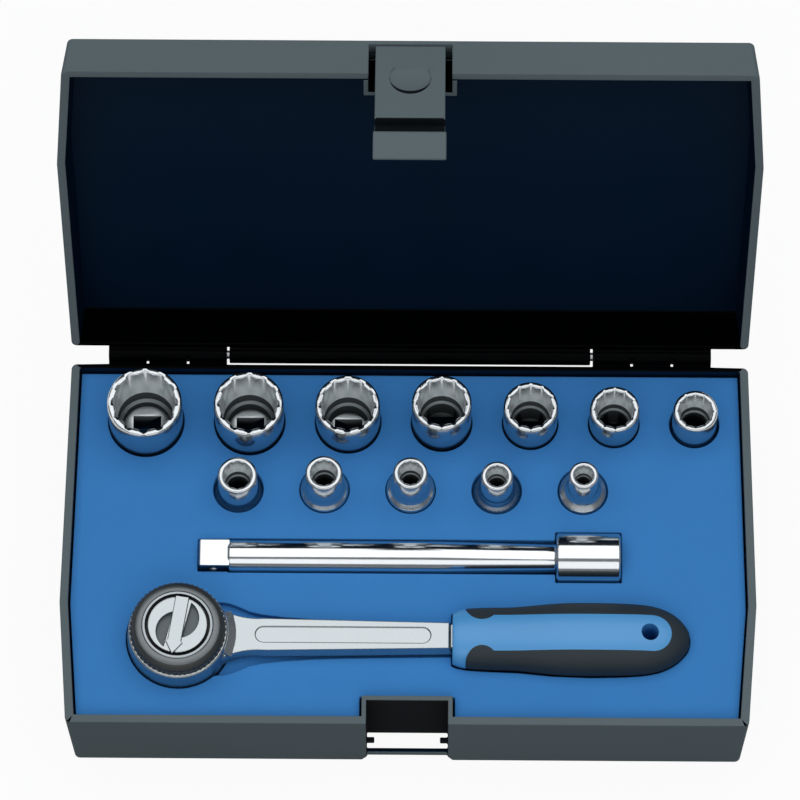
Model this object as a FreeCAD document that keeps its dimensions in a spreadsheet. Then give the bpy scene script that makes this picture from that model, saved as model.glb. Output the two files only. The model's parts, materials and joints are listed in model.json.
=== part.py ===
"""A quarter-inch socket wrench set in its hinged case.

The case stands open. Its frame has +X to the right along the case, +Y to the back, where the hinge is,
and +Z up. The origin is the middle of the base's underside. All lengths are millimetres.
"""
import FreeCAD
import Part
import Sketcher
import math
import os
from types import SimpleNamespace

doc = FreeCAD.newDocument("SocketSet")
sheet = doc.addObject("Spreadsheet::Sheet", "Dim")

# Driving dimensions: the name of each cell, its value and what it is.
SIZES = [
    ("case_width", 159.0, "widest, at the bend in the sides"),
    ("back_taper", 1.3, "how far each side comes in from the bend to the hinge side"),
    ("front_taper", 2.0, "how far each side comes in from the bend to the latch side"),
    ("case_depth", 87.5, "front to back at the rims"),
    ("bend_from_front", 29.0, "where the sides are widest"),
    ("base_height", 28.8, "underside to rim"),
    ("lid_height", 12.0, "rim to top"),
    ("case_wall", 1.9, "thickness of the front and side walls at the rim"),
    ("back_wall", 1.0, "thickness of the wall at the hinge"),
    ("floor_thickness", 1.8, "base floor"),
    ("roof_thickness", 1.6, "lid top"),
    ("wall_lean", 1.0, "how far each wall leans in over its height"),
    ("corner_radius", 1.3, "upright corners of the case"),
    ("edge_radius", 0.9, "bottom and top edges of the case"),
    ("rim_gap", 0.2, "between the rims when the lid is shut"),
    ("lid_open", 112.0, "opening angle at the stop, degrees"),
    ("hinge_back", 2.5, "hinge axis behind the back wall"),
    ("knuckle_radius", 2.0, "outside of the hinge barrels"),
    ("hinge_pin_radius", 1.0, "steel pin of the hinge"),
    ("running_clearance", 0.05, "between a pin and its hole, on the radius"),
    ("middle_knuckle", 84.0, "length of the barrel of the lid"),
    ("side_knuckle", 27.9, "length of each barrel of the base"),
    ("knuckle_gap", 0.6, "between barrels along the pin, and slots in the barrels of the base"),
    ("stop_gap", 0.1, "from the open lid to the heels that stop it"),
    ("heel_length", 3.0, "flat of each heel behind the hinge"),
    ("recess_width", 18.6, "latch recess, inside"),
    ("recess_depth", 5.8, "latch recess, from the front"),
    ("cheek", 1.1, "walls of the latch recess"),
    ("well_depth", 2.4, "opening behind the foot of the recess"),
    ("well_height", 5.6, "opening behind the foot of the recess"),
    ("bar_depth", 1.2, "bar across the foot of the recess"),
    ("bar_height", 1.8, "bar across the foot of the recess"),
    ("bar_up", 3.9, "underside to the bar"),
    ("notch_spread", 1.4, "slope at each end of the notch below the bar"),
    ("catch_reach", 1.8, "side catches, from the cheeks"),
    ("catch_depth", 1.0, "side catches, front to back"),
    ("catch_height", 1.8, "side catches"),
    ("latch_width", 15.6, "tongue of the latch"),
    ("latch_thickness", 3.2, "tongue of the latch"),
    ("latch_setback", 0.4, "tongue behind the front wall"),
    ("lip_width", 16.2, "hooked end of the latch"),
    ("groove_from_rim", 14.1, "rim to the groove of the latch"),
    ("groove_length", 3.5, "groove that takes the catches"),
    ("groove_depth", 2.2, "groove that takes the catches"),
    ("lip_length", 6.4, "hooked end of the latch"),
    ("lip_nose", 0.7, "thickness of the hooked end at its tip"),
    ("lip_edge", 0.8, "slope along the top of the hooked end"),
    ("latch_pin_radius", 0.8, "pin of the latch"),
    ("thumb_radius", 4.6, "thumb dish of the latch"),
    ("thumb_tilt", 8.0, "slope of the thumb dish, degrees"),
    ("foam_below_rim", 2.5, "top of the foam under the rim"),
    ("foam_clearance", 0.4, "foam to the walls of the case"),
    ("pocket_clearance", 0.25, "foam to the tools"),
    ("socket_length", 25.0, "all sockets"),
    ("socket_od_slope", 1.15, "outside of the mouth for each millimetre of nut size"),
    ("socket_od_start", 2.15, "outside of the mouth for a nut of no size"),
    ("collar_diameter", 11.1, "drive end of the small sockets"),
    ("collar_height", 14.0, "drive end of the small sockets"),
    ("drive_end_step", 0.7, "drive end of the large sockets under their mouth, on the radius"),
    ("drive_square", 6.35, "quarter-inch square"),
    ("square_clearance", 0.1, "square holes over the square, in all"),
    ("socket_drive_depth", 7.8, "square hole of a socket"),
    ("mouth_depth_slope", 0.7, "depth of the twelve points for each millimetre of nut size"),
    ("mouth_depth_start", 1.6, "depth of the twelve points for a nut of no size"),
    ("relief_slope", 0.3, "height of the round part behind the points for each millimetre of nut size"),
    ("edge_break", 0.4, "chamfers of the steel tools"),
    ("back_row_y", 30.6, "row of large sockets"),
    ("back_row_left", 6.6, "foam edge to the first hole"),
    ("back_row_right", 4.6, "last hole to the foam edge"),
    ("front_row_y", 14.0, "row of small sockets"),
    ("front_row_x", 0.4, "middle of the row of small sockets"),
    ("front_row_pitch", 19.8, "between small sockets"),
    ("extension_length", 96.6, "whole bar"),
    ("extension_x", -48.0, "square end of the bar"),
    ("extension_y", -2.3, "axis of the bar"),
    ("extension_below_foam", 1.2, "axis of the bar under the foam's top"),
    ("extension_square_length", 6.7, "male square"),
    ("shaft_radius", 3.9, "bar behind the male square"),
    ("shaft_neck_radius", 3.4, "bar in front of the socket end"),
    ("shaft_taper_start", 55.0, "where the bar begins to thin"),
    ("socket_end_length", 14.7, "female end"),
    ("socket_end_radius", 5.9, "female end"),
    ("female_depth", 8.5, "square hole of the female end"),
    ("ball_radius", 1.2, "detent balls"),
    ("ball_proud", 0.5, "detent balls over the square"),
    ("ball_hole_depth", 4.2, "holes of the detent balls"),
    ("spring_wire_radius", 0.16, "detent and pawl springs"),
    ("ratchet_x", -52.2, "axis of the ratchet head"),
    ("ratchet_y", -22.6, "axis of the ratchet head and handle"),
    ("head_above_foam", 5.6, "top of the head over the foam's top"),
    ("head_height", 11.5, "ratchet head"),
    ("head_radius", 11.8, "ratchet head at its widest"),
    ("head_top_radius", 11.4, "ratchet head at its top"),
    ("shank_above_foam", 1.0, "middle of the shank over the foam's top"),
    ("shank_thickness", 4.8, "shank of the ratchet"),
    ("shank_width", 9.2, "shank beside the head"),
    ("shank_end_width", 7.6, "shank at the grip"),
    ("shank_draft", 18.0, "slope of the shank's sides from the middle, degrees"),
    ("neck_end", 19.5, "head axis to the end of the neck"),
    ("neck_width", 17.0, "neck where it leaves the head"),
    ("skirt_reach", 1.4, "slope from the head down to the neck"),
    ("skirt_angle", 50.0, "slope from the head down to the neck, degrees round the head"),
    ("panel_start", 17.5, "recessed panel of the shank, from the head axis"),
    ("panel_end", 57.5, "recessed panel of the shank, from the head axis"),
    ("panel_width", 3.8, "recessed panel of the shank"),
    ("panel_depth", 0.5, "recessed panel of the shank"),
    ("grip_start", 62.4, "head axis to the grip"),
    ("grip_length", 53.9, "grip"),
    ("grip_width", 17.2, "grip at its widest"),
    ("grip_height", 12.4, "grip at its widest"),
    ("collar_length", 3.0, "hard collar of the grip"),
    ("inlay_width", 8.6, "hard panel along the grip"),
    ("inlay_end_wall", 4.1, "soft end of the grip behind the panel"),
    ("lobe_reach", 1.2, "soft lobes into the panel behind the collar"),
    ("lobe_length", 6.4, "soft lobes along the grip"),
    ("hang_hole_radius", 2.0, "hanging hole"),
    ("hang_hole_from_end", 9.0, "hanging hole to the end of the grip"),
    ("tang_length", 36.0, "shank inside the grip"),
    ("tang_width", 5.6, "shank inside the grip"),
    ("gear_teeth", 24, "teeth inside the head"),
    ("gear_root_radius", 8.65, "bottom of the tooth gaps"),
    ("gear_tip_radius", 8.0, "tips of the teeth"),
    ("journal_radius", 7.0, "spindle in the bottom of the head"),
    ("drum_radius", 7.6, "spindle among the teeth"),
    ("head_floor", 2.4, "bottom of the head under the teeth"),
    ("drum_height", 5.0, "spindle among the teeth"),
    ("flange_radius", 9.6, "spindle above the teeth"),
    ("flange_height", 1.2, "spindle above the teeth"),
    ("top_bore_radius", 9.7, "head above the teeth"),
    ("ring_height", 0.8, "retaining ring"),
    ("ring_bite", 0.7, "retaining ring into the head"),
    ("hub_radius", 8.15, "spindle inside the thumb ring"),
    ("hub_above_head", 3.9, "bezel over the head"),
    ("thumb_ring_radius", 11.0, "thumb ring"),
    ("thumb_ring_gap", 0.25, "thumb ring over the head"),
    ("thumb_ring_edge", 1.3, "upright edge of the thumb ring"),
    ("knurl_count", 54, "ribs of the thumb ring"),
    ("knurl_depth", 0.3, "ribs of the thumb ring"),
    ("dial_bore_radius", 7.4, "recess of the reversing dial"),
    ("dial_radius", 6.8, "reversing dial"),
    ("dial_height", 2.6, "reversing dial"),
    ("dial_bar_width", 3.0, "pointer across the dial"),
    ("dial_bar_reach", 7.2, "tip of the pointer from the axis"),
    ("dial_bar_height", 0.5, "pointer over the disc"),
    ("dial_scoop_depth", 1.4, "finger scoops of the dial"),
    ("dial_scoop_radius", 4.7, "round side of each finger scoop"),
    ("dial_throw", 60.0, "turn of the dial from one way to the other, degrees"),
    ("dial_bearing", -99.0, "way the pointer points at rest, degrees"),
    ("stem_radius", 2.5, "stem under the dial"),
    ("pawl_pivot", 6.0, "pin of the pawl from the head axis"),
    ("pawl_pin_radius", 0.7, "pin of the pawl"),
    ("pawl_rock", 8.8, "rock of the pawl from one way to the other, degrees"),
    ("pawl_tip_radius", 8.07, "teeth of the pawl with both ends level"),
    ("pawl_tip_angle", 47.2, "teeth of the pawl from its middle, degrees"),
    ("pawl_back_radius", 7.25, "outside of the pawl"),
    ("pawl_front_radius", 4.6, "inside of the pawl"),
    ("pawl_tooth_angle", 6.5, "half the tooth of the pawl at its foot, degrees"),
    ("plunger_radius", 0.75, "plunger between dial and pawl"),
    ("plunger_reach", 4.45, "tip of the plunger from the head axis"),
    ("plunger_length", 1.9, "plunger between dial and pawl"),
]

# The grip's outline: how far along it each section stands, and its width, as shares of length and width.
GRIP_SECTIONS = [(0.0, 0.7), (0.03, 0.78), (0.08, 0.83), (0.18, 0.855), (0.286, 0.88), (0.42, 0.965),
                 (0.58, 1.0), (0.74, 0.98), (0.85, 0.905), (0.92, 0.74), (0.97, 0.49), (1.0, 0.2)]

# The sockets from left to right: the nut size, and how deep the socket sits in the foam.
BACK_ROW = [(13.0, 12.8), (12.0, 13.4), (11.0, 14.0), (10.0, 12.2), (9.0, 14.6), (8.0, 15.6), (7.0, 16.4)]
FRONT_ROW = [(6.0, 16.0), (5.5, 14.2), (5.0, 14.0), (4.5, 15.6), (4.0, 14.6)]


class Size:
    """A number worked out from the sheet: its value, and the expression that ties a feature to the cells."""

    def __init__(self, text, value):
        self.text = text
        self.value = value

    def __add__(self, other):
        return Size(f"({self.text} + {as_text(other)})", self.value + as_value(other))

    def __radd__(self, other):
        return Size(f"({as_text(other)} + {self.text})", as_value(other) + self.value)

    def __sub__(self, other):
        return Size(f"({self.text} - {as_text(other)})", self.value - as_value(other))

    def __rsub__(self, other):
        return Size(f"({as_text(other)} - {self.text})", as_value(other) - self.value)

    def __mul__(self, other):
        return Size(f"({self.text} * {as_text(other)})", self.value * as_value(other))

    __rmul__ = __mul__

    def __truediv__(self, other):
        return Size(f"({self.text} / {as_text(other)})", self.value / as_value(other))

    def __neg__(self):
        return Size(f"(0 - {self.text})", -self.value)


def as_text(number):
    return number.text if isinstance(number, Size) else repr(float(number))


def as_value(number):
    return number.value if isinstance(number, Size) else float(number)


def cos_of(degrees):
    return Size(f"cos({as_text(degrees)} * 1 deg)", math.cos(math.radians(as_value(degrees))))


def sin_of(degrees):
    return Size(f"sin({as_text(degrees)} * 1 deg)", math.sin(math.radians(as_value(degrees))))


def tan_to_degrees(rise, run):
    angle = math.degrees(math.atan2(as_value(rise), as_value(run)))
    return Size(f"(atan({as_text(rise)} / {as_text(run)}) / 1 deg)", angle)


def larger(first, second):
    return Size(f"max({as_text(first)}; {as_text(second)})", max(as_value(first), as_value(second)))


def fill_sheet():
    """Write the sizes to the sheet and give each back under its own name."""
    named = {}
    for row, (alias, value, note) in enumerate(SIZES, start=1):
        sheet.set(f"A{row}", alias)
        sheet.set(f"B{row}", str(value))
        sheet.set(f"C{row}", note)
        sheet.setAlias(f"B{row}", alias)
        named[alias] = Size(f"Dim.{alias}", float(value))
    doc.recompute()
    return SimpleNamespace(**named)


dim = fill_sheet()

# Places that several pieces share.
half_depth = dim.case_depth / 2
rim_z = dim.base_height
lid_rim_z = rim_z + dim.rim_gap
hinge_y = half_depth + dim.hinge_back
hinge_z = rim_z + dim.rim_gap / 2
foam_z = rim_z - dim.foam_below_rim
front_y = -half_depth
recess_back_y = front_y + dim.recess_depth
head_z = foam_z + dim.head_above_foam - dim.head_height
shank_z = foam_z + dim.shank_above_foam - head_z
extension_z = foam_z - dim.extension_below_foam
latch_pin_y = front_y + dim.latch_setback + dim.latch_thickness * 0.55
latch_pin_z = lid_rim_z + dim.lid_height - dim.roof_thickness - dim.latch_thickness * 0.75
THROUGH = 400.0


def bind(feature, prop, size):
    """Tie one property of a feature to the sheet."""
    feature.setExpression(prop, as_text(size))


def place(piece, x=0, y=0, z=0):
    """Set where a piece stands."""
    for prop, size in (("x", x), ("y", y), ("z", z)):
        bind(piece, f"Placement.Base.{prop}", size)


def turn(piece, axis, degrees):
    """Turn a piece about an axis through its own origin."""
    piece.Placement = FreeCAD.Placement(FreeCAD.Vector(), FreeCAD.Rotation(FreeCAD.Vector(*axis), 1))
    bind(piece, "Placement.Rotation.Angle", degrees)


def open_lid(piece):
    """Swing a piece that was drawn with the lid shut back about the hinge axis."""
    turn(piece, (-1, 0, 0), dim.lid_open)
    cos_open = cos_of(dim.lid_open)
    sin_open = sin_of(dim.lid_open)
    swung_y = hinge_y * cos_open + hinge_z * sin_open
    swung_z = hinge_z * cos_open - hinge_y * sin_open
    place(piece, 0, hinge_y - swung_y, hinge_z - swung_z)


def new_body(name):
    return doc.addObject("PartDesign::Body", name)


def plane_of(body, role):
    return next(plane for plane in body.Origin.OriginFeatures if plane.Role == role)


def new_sketch(body, role, offset=0):
    """An empty sketch on one of the body's own planes, moved along the plane's normal."""
    sketch = body.newObject("Sketcher::SketchObject", f"{body.Name}_sketch")
    sketch.AttachmentSupport = [(plane_of(body, role), "")]
    sketch.MapMode = "FlatFace"
    bind(sketch, "AttachmentOffset.Base.z", offset)
    return sketch


def arc_between(start, end, bend):
    """The arc under a half circle from start to end. A positive bend turns left, a negative one right."""
    radius = abs(bend)
    middle = (start + end) / 2
    run = end - start
    left = FreeCAD.Vector(-run.y, run.x, 0).normalize()
    inset = math.sqrt(max(radius ** 2 - (run.Length / 2) ** 2, 0.0))
    centre = middle + left * math.copysign(inset, bend)
    first, last = (start, end) if bend > 0 else (end, start)
    angles = [math.atan2(point.y - centre.y, point.x - centre.x) for point in (first, last)]
    circle = Part.Circle(centre, FreeCAD.Vector(0, 0, 1), radius)
    return Part.ArcOfCircle(circle, angles[0], angles[1])


def draw_outline(sketch, corners):
    """A closed outline. A corner is (x, y), or (x, y, bend) where an arc of that radius leaves it."""
    first = sketch.GeometryCount
    points = [FreeCAD.Vector(as_value(corner[0]), as_value(corner[1]), 0) for corner in corners]
    ends = []
    for index, corner in enumerate(corners):
        start = points[index]
        end = points[(index + 1) % len(points)]
        if len(corner) == 2:
            sketch.addGeometry(Part.LineSegment(start, end), False)
            ends.append((1, 2))
        else:
            bend = as_value(corner[2])
            sketch.addGeometry(arc_between(start, end, bend), False)
            ends.append((1, 2) if bend > 0 else (2, 1))
    for index, corner in enumerate(corners):
        edge = first + index
        after = (index + 1) % len(corners)
        sketch.addConstraint(
            Sketcher.Constraint("Coincident", edge, ends[index][1], first + after, ends[after][0]))
        for kind, size in (("DistanceX", corner[0]), ("DistanceY", corner[1])):
            held = sketch.addConstraint(
                Sketcher.Constraint(kind, -1, 1, edge, ends[index][0], as_value(size)))
            bind(sketch, f"Constraints[{held}]", size)
        if len(corner) == 3:
            radius = corner[2] if as_value(corner[2]) > 0 else -corner[2]
            held = sketch.addConstraint(Sketcher.Constraint("Radius", edge, as_value(radius)))
            bind(sketch, f"Constraints[{held}]", radius)


def draw_circle(sketch, x, y, radius):
    """A circle held to the sheet."""
    centre = FreeCAD.Vector(as_value(x), as_value(y), 0)
    index = sketch.addGeometry(Part.Circle(centre, FreeCAD.Vector(0, 0, 1), as_value(radius)), False)
    for kind, size in (("DistanceX", x), ("DistanceY", y)):
        held = sketch.addConstraint(Sketcher.Constraint(kind, -1, 1, index, 3, as_value(size)))
        bind(sketch, f"Constraints[{held}]", size)
    held = sketch.addConstraint(Sketcher.Constraint("Radius", index, as_value(radius)))
    bind(sketch, f"Constraints[{held}]", radius)


def outline(body, role, corners, offset=0):
    sketch = new_sketch(body, role, offset)
    draw_outline(sketch, corners)
    return sketch


def circle(body, role, radius, offset=0, x=0, y=0):
    sketch = new_sketch(body, role, offset)
    draw_circle(sketch, x, y, radius)
    return sketch


def rectangle(x0, x1, y0, y1):
    return [(x0, y0), (x1, y0), (x1, y1), (x0, y1)]


def add_feature(body, kind, sketch, length, backwards=False, middle=False):
    """A pad or pocket of a sketch. A pad goes along the sketch's normal and a cut against it."""
    feature = body.newObject(f"PartDesign::{kind}", f"{body.Name}_{kind.lower()}")
    feature.Profile = sketch
    feature.Reversed = backwards
    feature.Midplane = middle
    bind(feature, "Length", length)
    doc.recompute()
    return feature


def pad(body, sketch, length, backwards=False, middle=False):
    return add_feature(body, "Pad", sketch, length, backwards, middle)


def pocket(body, sketch, length, backwards=False, middle=False):
    """Cut a sketch out of the body, and stop if nothing came away."""
    before = body.Shape.Area
    feature = add_feature(body, "Pocket", sketch, length, backwards, middle)
    if abs(body.Shape.Area - before) < 0.001:
        raise RuntimeError(f"{feature.Label} cuts nothing")
    return feature


def spin(body, kind, corners, axis="V_Axis", role="XZ_Plane"):
    """A turned feature: the corners are radius and height beside the axis."""
    sketch = outline(body, role, corners)
    feature = body.newObject(f"PartDesign::{kind}", f"{body.Name}_{kind.lower()}")
    feature.Profile = sketch
    feature.ReferenceAxis = (sketch, [axis])
    feature.Angle = 360
    doc.recompute()
    return feature


def edge_names(feature, wanted):
    return [f"Edge{number}" for number, edge in enumerate(feature.Shape.Edges, start=1) if wanted(edge)]


def face_names(feature, wanted):
    return [f"Face{number}" for number, face in enumerate(feature.Shape.Faces, start=1) if wanted(face)]


def dress_edges(body, kind, base, wanted, size):
    """Round or break the wanted edges of the body's last feature."""
    feature = body.newObject(f"PartDesign::{kind}", f"{body.Name}_{kind.lower()}")
    feature.Base = (base, edge_names(base, wanted))
    bind(feature, "Radius" if kind == "Fillet" else "Size", size)
    doc.recompute()
    return feature


def lean_in(body, base, wanted, neutral, height, reverse):
    """Lean the wanted upright faces about the flat face that stays as it is."""
    feature = body.newObject("PartDesign::Draft", f"{body.Name}_draft")
    feature.Base = (base, face_names(base, wanted))
    feature.NeutralPlane = (base, face_names(base, neutral)[:1])
    feature.Reversed = reverse
    bind(feature, "Angle", tan_to_degrees(dim.wall_lean, height))
    doc.recompute()
    return feature


def case_outline(inset, back_inset):
    """The case seen from above at its rim, drawn in by the insets."""
    widest = dim.case_width / 2 - inset
    front = widest - dim.front_taper
    back = widest - dim.back_taper
    bend_y = front_y + dim.bend_from_front
    near = front_y + inset
    far = half_depth - back_inset
    return [(-front, near), (front, near), (widest, bend_y), (back, far), (-back, far), (-widest, bend_y)]


def is_upright(face):
    return abs(face.normalAt(0, 0).z) < 0.2


def at_height(z):
    return lambda piece: abs(piece.BoundBox.ZMin - z) < 0.01 and abs(piece.BoundBox.ZMax - z) < 0.01


def shell_half(body, rim, height, floor, upside_down):
    """One moulded half of the case: leaning walls, rounded edges and a leaning inside."""
    far_z = as_value(rim) + (as_value(height) if upside_down else -as_value(height))
    inner_z = far_z + (-as_value(floor) if upside_down else as_value(floor))
    solid = pad(body, outline(body, "XY_Plane", case_outline(0, 0), rim), height, backwards=not upside_down)
    walls = lean_in(body, solid, is_upright, at_height(as_value(rim)), height, reverse=not upside_down)
    upright_corners = dress_edges(
        body, "Fillet", walls,
        lambda edge: edge.BoundBox.ZLength > as_value(height) / 2
        and abs(edge.CenterOfMass.y) > as_value(half_depth) * 0.8,
        dim.corner_radius)
    rounded = dress_edges(
        body, "Fillet", upright_corners, at_height(far_z), dim.edge_radius)
    inner = case_outline(dim.case_wall, dim.back_wall)
    inside = pocket(body, outline(body, "XY_Plane", inner, rim), height - floor, backwards=upside_down)
    return lean_in(
        body, inside,
        lambda face: is_upright(face) and min(abs(face.BoundBox.ZMin - inner_z),
                                              abs(face.BoundBox.ZMax - inner_z)) < 0.01,
        at_height(as_value(rim)), height, reverse=upside_down)


def knuckle_spans(owner):
    """Middle and length along X of each hinge barrel of the base or of the lid."""
    if owner == "lid":
        return [(0, dim.middle_knuckle - dim.knuckle_gap)]
    middle = (dim.middle_knuckle + dim.side_knuckle) / 2
    return [(middle * side, dim.side_knuckle - dim.knuckle_gap) for side in (1, -1)]


def add_knuckles(body, owner, corners):
    """Barrels along the hinge axis, bored for the pin."""
    for middle, length in knuckle_spans(owner):
        pad(body, outline(body, "YZ_Plane", corners, middle), length, middle=True)
    hole = circle(body, "YZ_Plane", dim.hinge_pin_radius + dim.running_clearance, 0, hinge_y, hinge_z)
    pocket(body, hole, THROUGH, middle=True)


def make_base_shell():
    """Base of the case, with the latch recess in its front and two hinge barrels with stop heels."""
    body = new_body("base_shell")
    shell_half(body, rim_z, dim.base_height, dim.floor_thickness, upside_down=False)
    half_recess = dim.recess_width / 2
    cheek_x = half_recess + dim.cheek
    frame = rectangle(-cheek_x, cheek_x, front_y + dim.case_wall * 0.6, recess_back_y + dim.cheek)
    pad(body, outline(body, "XY_Plane", frame, rim_z), dim.base_height - dim.floor_thickness / 2,
        backwards=True)
    chute = rectangle(-half_recess, half_recess, front_y - dim.recess_depth, recess_back_y)
    well_back = recess_back_y + dim.well_depth
    housing = rectangle(-cheek_x, cheek_x, recess_back_y, well_back + dim.cheek)
    pad(body, outline(body, "XY_Plane", housing, dim.floor_thickness / 2),
        dim.well_height + dim.cheek - dim.floor_thickness / 2)
    pocket(body, outline(body, "XY_Plane", chute, rim_z), THROUGH)
    well = rectangle(-half_recess, half_recess, recess_back_y - dim.recess_depth / 2, well_back)
    pocket(body, outline(body, "XY_Plane", well, dim.well_height), THROUGH)
    notch_top = dim.bar_up
    notch = [(-half_recess - dim.notch_spread, 0), (half_recess + dim.notch_spread, 0),
             (half_recess, notch_top), (-half_recess, notch_top)]
    pocket(body, outline(body, "XZ_Plane", notch, half_depth + dim.recess_depth),
           dim.recess_depth + dim.case_wall + dim.wall_lean)
    wall_at_bar = front_y + dim.wall_lean
    bar = rectangle(wall_at_bar, wall_at_bar + dim.bar_depth, dim.bar_up, dim.bar_up + dim.bar_height)
    pad(body, outline(body, "YZ_Plane", bar), dim.recess_width + dim.cheek, middle=True)
    tongue_y = front_y + dim.latch_setback
    catch_back = tongue_y + dim.groove_depth - (dim.groove_depth - dim.catch_depth) / 2
    catch_top = lid_rim_z - dim.groove_from_rim - (dim.groove_length - dim.catch_height) / 2
    for side in (1, -1):
        catch = rectangle(catch_back - dim.catch_depth, catch_back, catch_top - dim.catch_height, catch_top)
        middle = (half_recess - dim.catch_reach / 2 + dim.cheek / 4) * side
        pad(body, outline(body, "YZ_Plane", catch, middle), dim.catch_reach + dim.cheek / 2, middle=True)
    rest_angle = 180 - dim.lid_open
    stop = dim.hinge_back - dim.stop_gap
    radius = dim.knuckle_radius
    web_y = half_depth - dim.back_wall / 2
    heel_y = hinge_y + stop * cos_of(rest_angle)
    heel_z = hinge_z + stop * sin_of(rest_angle)
    heel_end_y = heel_y + dim.heel_length * sin_of(rest_angle)
    heel_end_z = heel_z - dim.heel_length * cos_of(rest_angle)
    add_knuckles(body, "base", [
        (web_y, hinge_z - radius),
        (hinge_y, hinge_z - radius),
        (heel_end_y - radius / 3, hinge_z - radius * 0.6),
        (heel_end_y, heel_end_z),
        (heel_y, heel_z),
        (hinge_y + radius * cos_of(rest_angle), hinge_z + radius * sin_of(rest_angle), radius),
        (hinge_y - radius, hinge_z),
        (web_y, hinge_z - radius / 4)])
    half_slot = dim.knuckle_gap / 2
    slot_end = hinge_y - dim.hinge_pin_radius - dim.running_clearance * 2
    for side in (1, -1):
        for share in (1, 2):
            x = (dim.middle_knuckle / 2 + dim.side_knuckle * share / 3) * side
            slot = rectangle(x - half_slot, x + half_slot, half_depth + half_slot / 2, slot_end)
            pocket(body, outline(body, "XY_Plane", slot, hinge_z + radius * 2), radius * 4)
    return body


def make_lid_shell():
    """Lid of the case, drawn shut and then swung open, with the latch box and the middle hinge barrel."""
    body = new_body("lid_shell")
    shell_half(body, lid_rim_z, dim.lid_height, dim.roof_thickness, upside_down=True)
    half_recess = dim.recess_width / 2
    cheek_x = half_recess + dim.cheek
    room = dim.lid_height - dim.roof_thickness
    frame = rectangle(-cheek_x, cheek_x, front_y + dim.case_wall * 0.6 + dim.wall_lean,
                      recess_back_y + dim.cheek)
    pad(body, outline(body, "XY_Plane", frame, lid_rim_z), room + dim.roof_thickness / 2)
    box = rectangle(-half_recess, half_recess, front_y - dim.recess_depth, recess_back_y)
    pocket(body, outline(body, "XY_Plane", box, lid_rim_z), room, backwards=True)
    pin_hole = circle(body, "YZ_Plane", dim.latch_pin_radius, 0, latch_pin_y, latch_pin_z)
    pocket(body, pin_hole, dim.recess_width + 2 * dim.cheek, middle=True)
    radius = dim.knuckle_radius
    web_y = half_depth - dim.back_wall / 2
    add_knuckles(body, "lid", [
        (web_y, hinge_z + radius / 4),
        (hinge_y - radius, hinge_z, radius),
        (hinge_y, hinge_z - radius, radius),
        (hinge_y + radius, hinge_z, radius),
        (hinge_y, hinge_z + radius),
        (web_y, hinge_z + radius)])
    open_lid(body)
    return body


def make_hinge_pin():
    """Steel pin along the whole hinge."""
    pin = doc.addObject("Part::Cylinder", "hinge_pin")
    length = dim.middle_knuckle + 2 * dim.side_knuckle - dim.knuckle_gap
    bind(pin, "Radius", dim.hinge_pin_radius)
    bind(pin, "Height", length)
    turn(pin, (0, 1, 0), Size("90", 90.0))
    place(pin, -length / 2, hinge_y, hinge_z)
    return pin


def make_latch():
    """Latch tongue: a flat strip with a thumb dish, a groove, and a hooked end for the catches."""
    body = new_body("latch")
    face = front_y + dim.latch_setback
    back = face + dim.latch_thickness
    top = lid_rim_z + dim.lid_height - dim.roof_thickness - dim.rim_gap
    top_face = face + dim.wall_lean * 0.85
    groove_top = lid_rim_z - dim.groove_from_rim
    groove_end = groove_top - dim.groove_length
    floor = face + dim.groove_depth
    tip = groove_end - dim.lip_length
    tongue = [(top_face, top), (face, lid_rim_z), (face, groove_top), (floor, groove_top),
              (floor, groove_end), (back, groove_end), (back, top - dim.latch_thickness / 3),
              (back - dim.latch_thickness / 3, top)]
    pad(body, outline(body, "YZ_Plane", tongue), dim.latch_width, middle=True)
    lip = [(floor, groove_end), (face + dim.lip_edge / 2, groove_end), (face, groove_end - dim.lip_edge),
           (back - dim.lip_nose, tip), (back, tip), (back, groove_end)]
    pad(body, outline(body, "YZ_Plane", lip), dim.lip_width, middle=True)
    hole = circle(body, "YZ_Plane", dim.latch_pin_radius + dim.running_clearance, 0,
                  latch_pin_y, latch_pin_z)
    pocket(body, hole, THROUGH, middle=True)
    dish = body.newObject("PartDesign::SubtractiveCylinder", "latch_dish")
    sunk = 2 * dim.thumb_radius * sin_of(dim.thumb_tilt)
    bind(dish, "Radius", dim.thumb_radius)
    bind(dish, "Height", dim.latch_thickness)
    turn(dish, (1, 0, 0), 90 + dim.thumb_tilt)
    place(dish, 0, face + sunk / 2, lid_rim_z - dim.lip_edge)
    doc.recompute()
    open_lid(body)
    return body


def make_latch_pin():
    """Pin of the latch, held in the cheeks of the lid's box."""
    body = new_body("latch_pin")
    section = circle(body, "YZ_Plane", dim.latch_pin_radius, 0, latch_pin_y, latch_pin_z)
    pad(body, section, dim.recess_width + 2 * dim.cheek, middle=True)
    open_lid(body)
    return body


def mouth_radius(flats):
    return (flats * dim.socket_od_slope + dim.socket_od_start) / 2


def widest_radius(flats):
    return larger(mouth_radius(flats), dim.collar_diameter / 2)


def socket_places():
    """Nut size, depth in the foam and place of each socket. The back row fills the foam's width evenly."""
    places = []
    foam_half = dim.case_width / 2 - dim.back_taper - dim.case_wall - dim.foam_clearance
    radii = [widest_radius(flats) for flats, sunk in SOCKET_CELLS[0]]
    taken = radii[0]
    for radius in radii[1:]:
        taken = taken + radius
    across = taken * 2
    room = foam_half * 2 - dim.back_row_left - dim.back_row_right - across
    gap = room / (len(radii) - 1)
    x = -foam_half + dim.back_row_left + radii[0]
    for index, (flats, sunk) in enumerate(SOCKET_CELLS[0]):
        if index:
            x = x + radii[index - 1] + gap + radii[index]
        places.append((flats, sunk, x, dim.back_row_y))
    first = dim.front_row_x - dim.front_row_pitch * (len(FRONT_ROW) - 1) / 2
    for index, (flats, sunk) in enumerate(SOCKET_CELLS[1]):
        places.append((flats, sunk, first + dim.front_row_pitch * index, dim.front_row_y))
    return places


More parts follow.
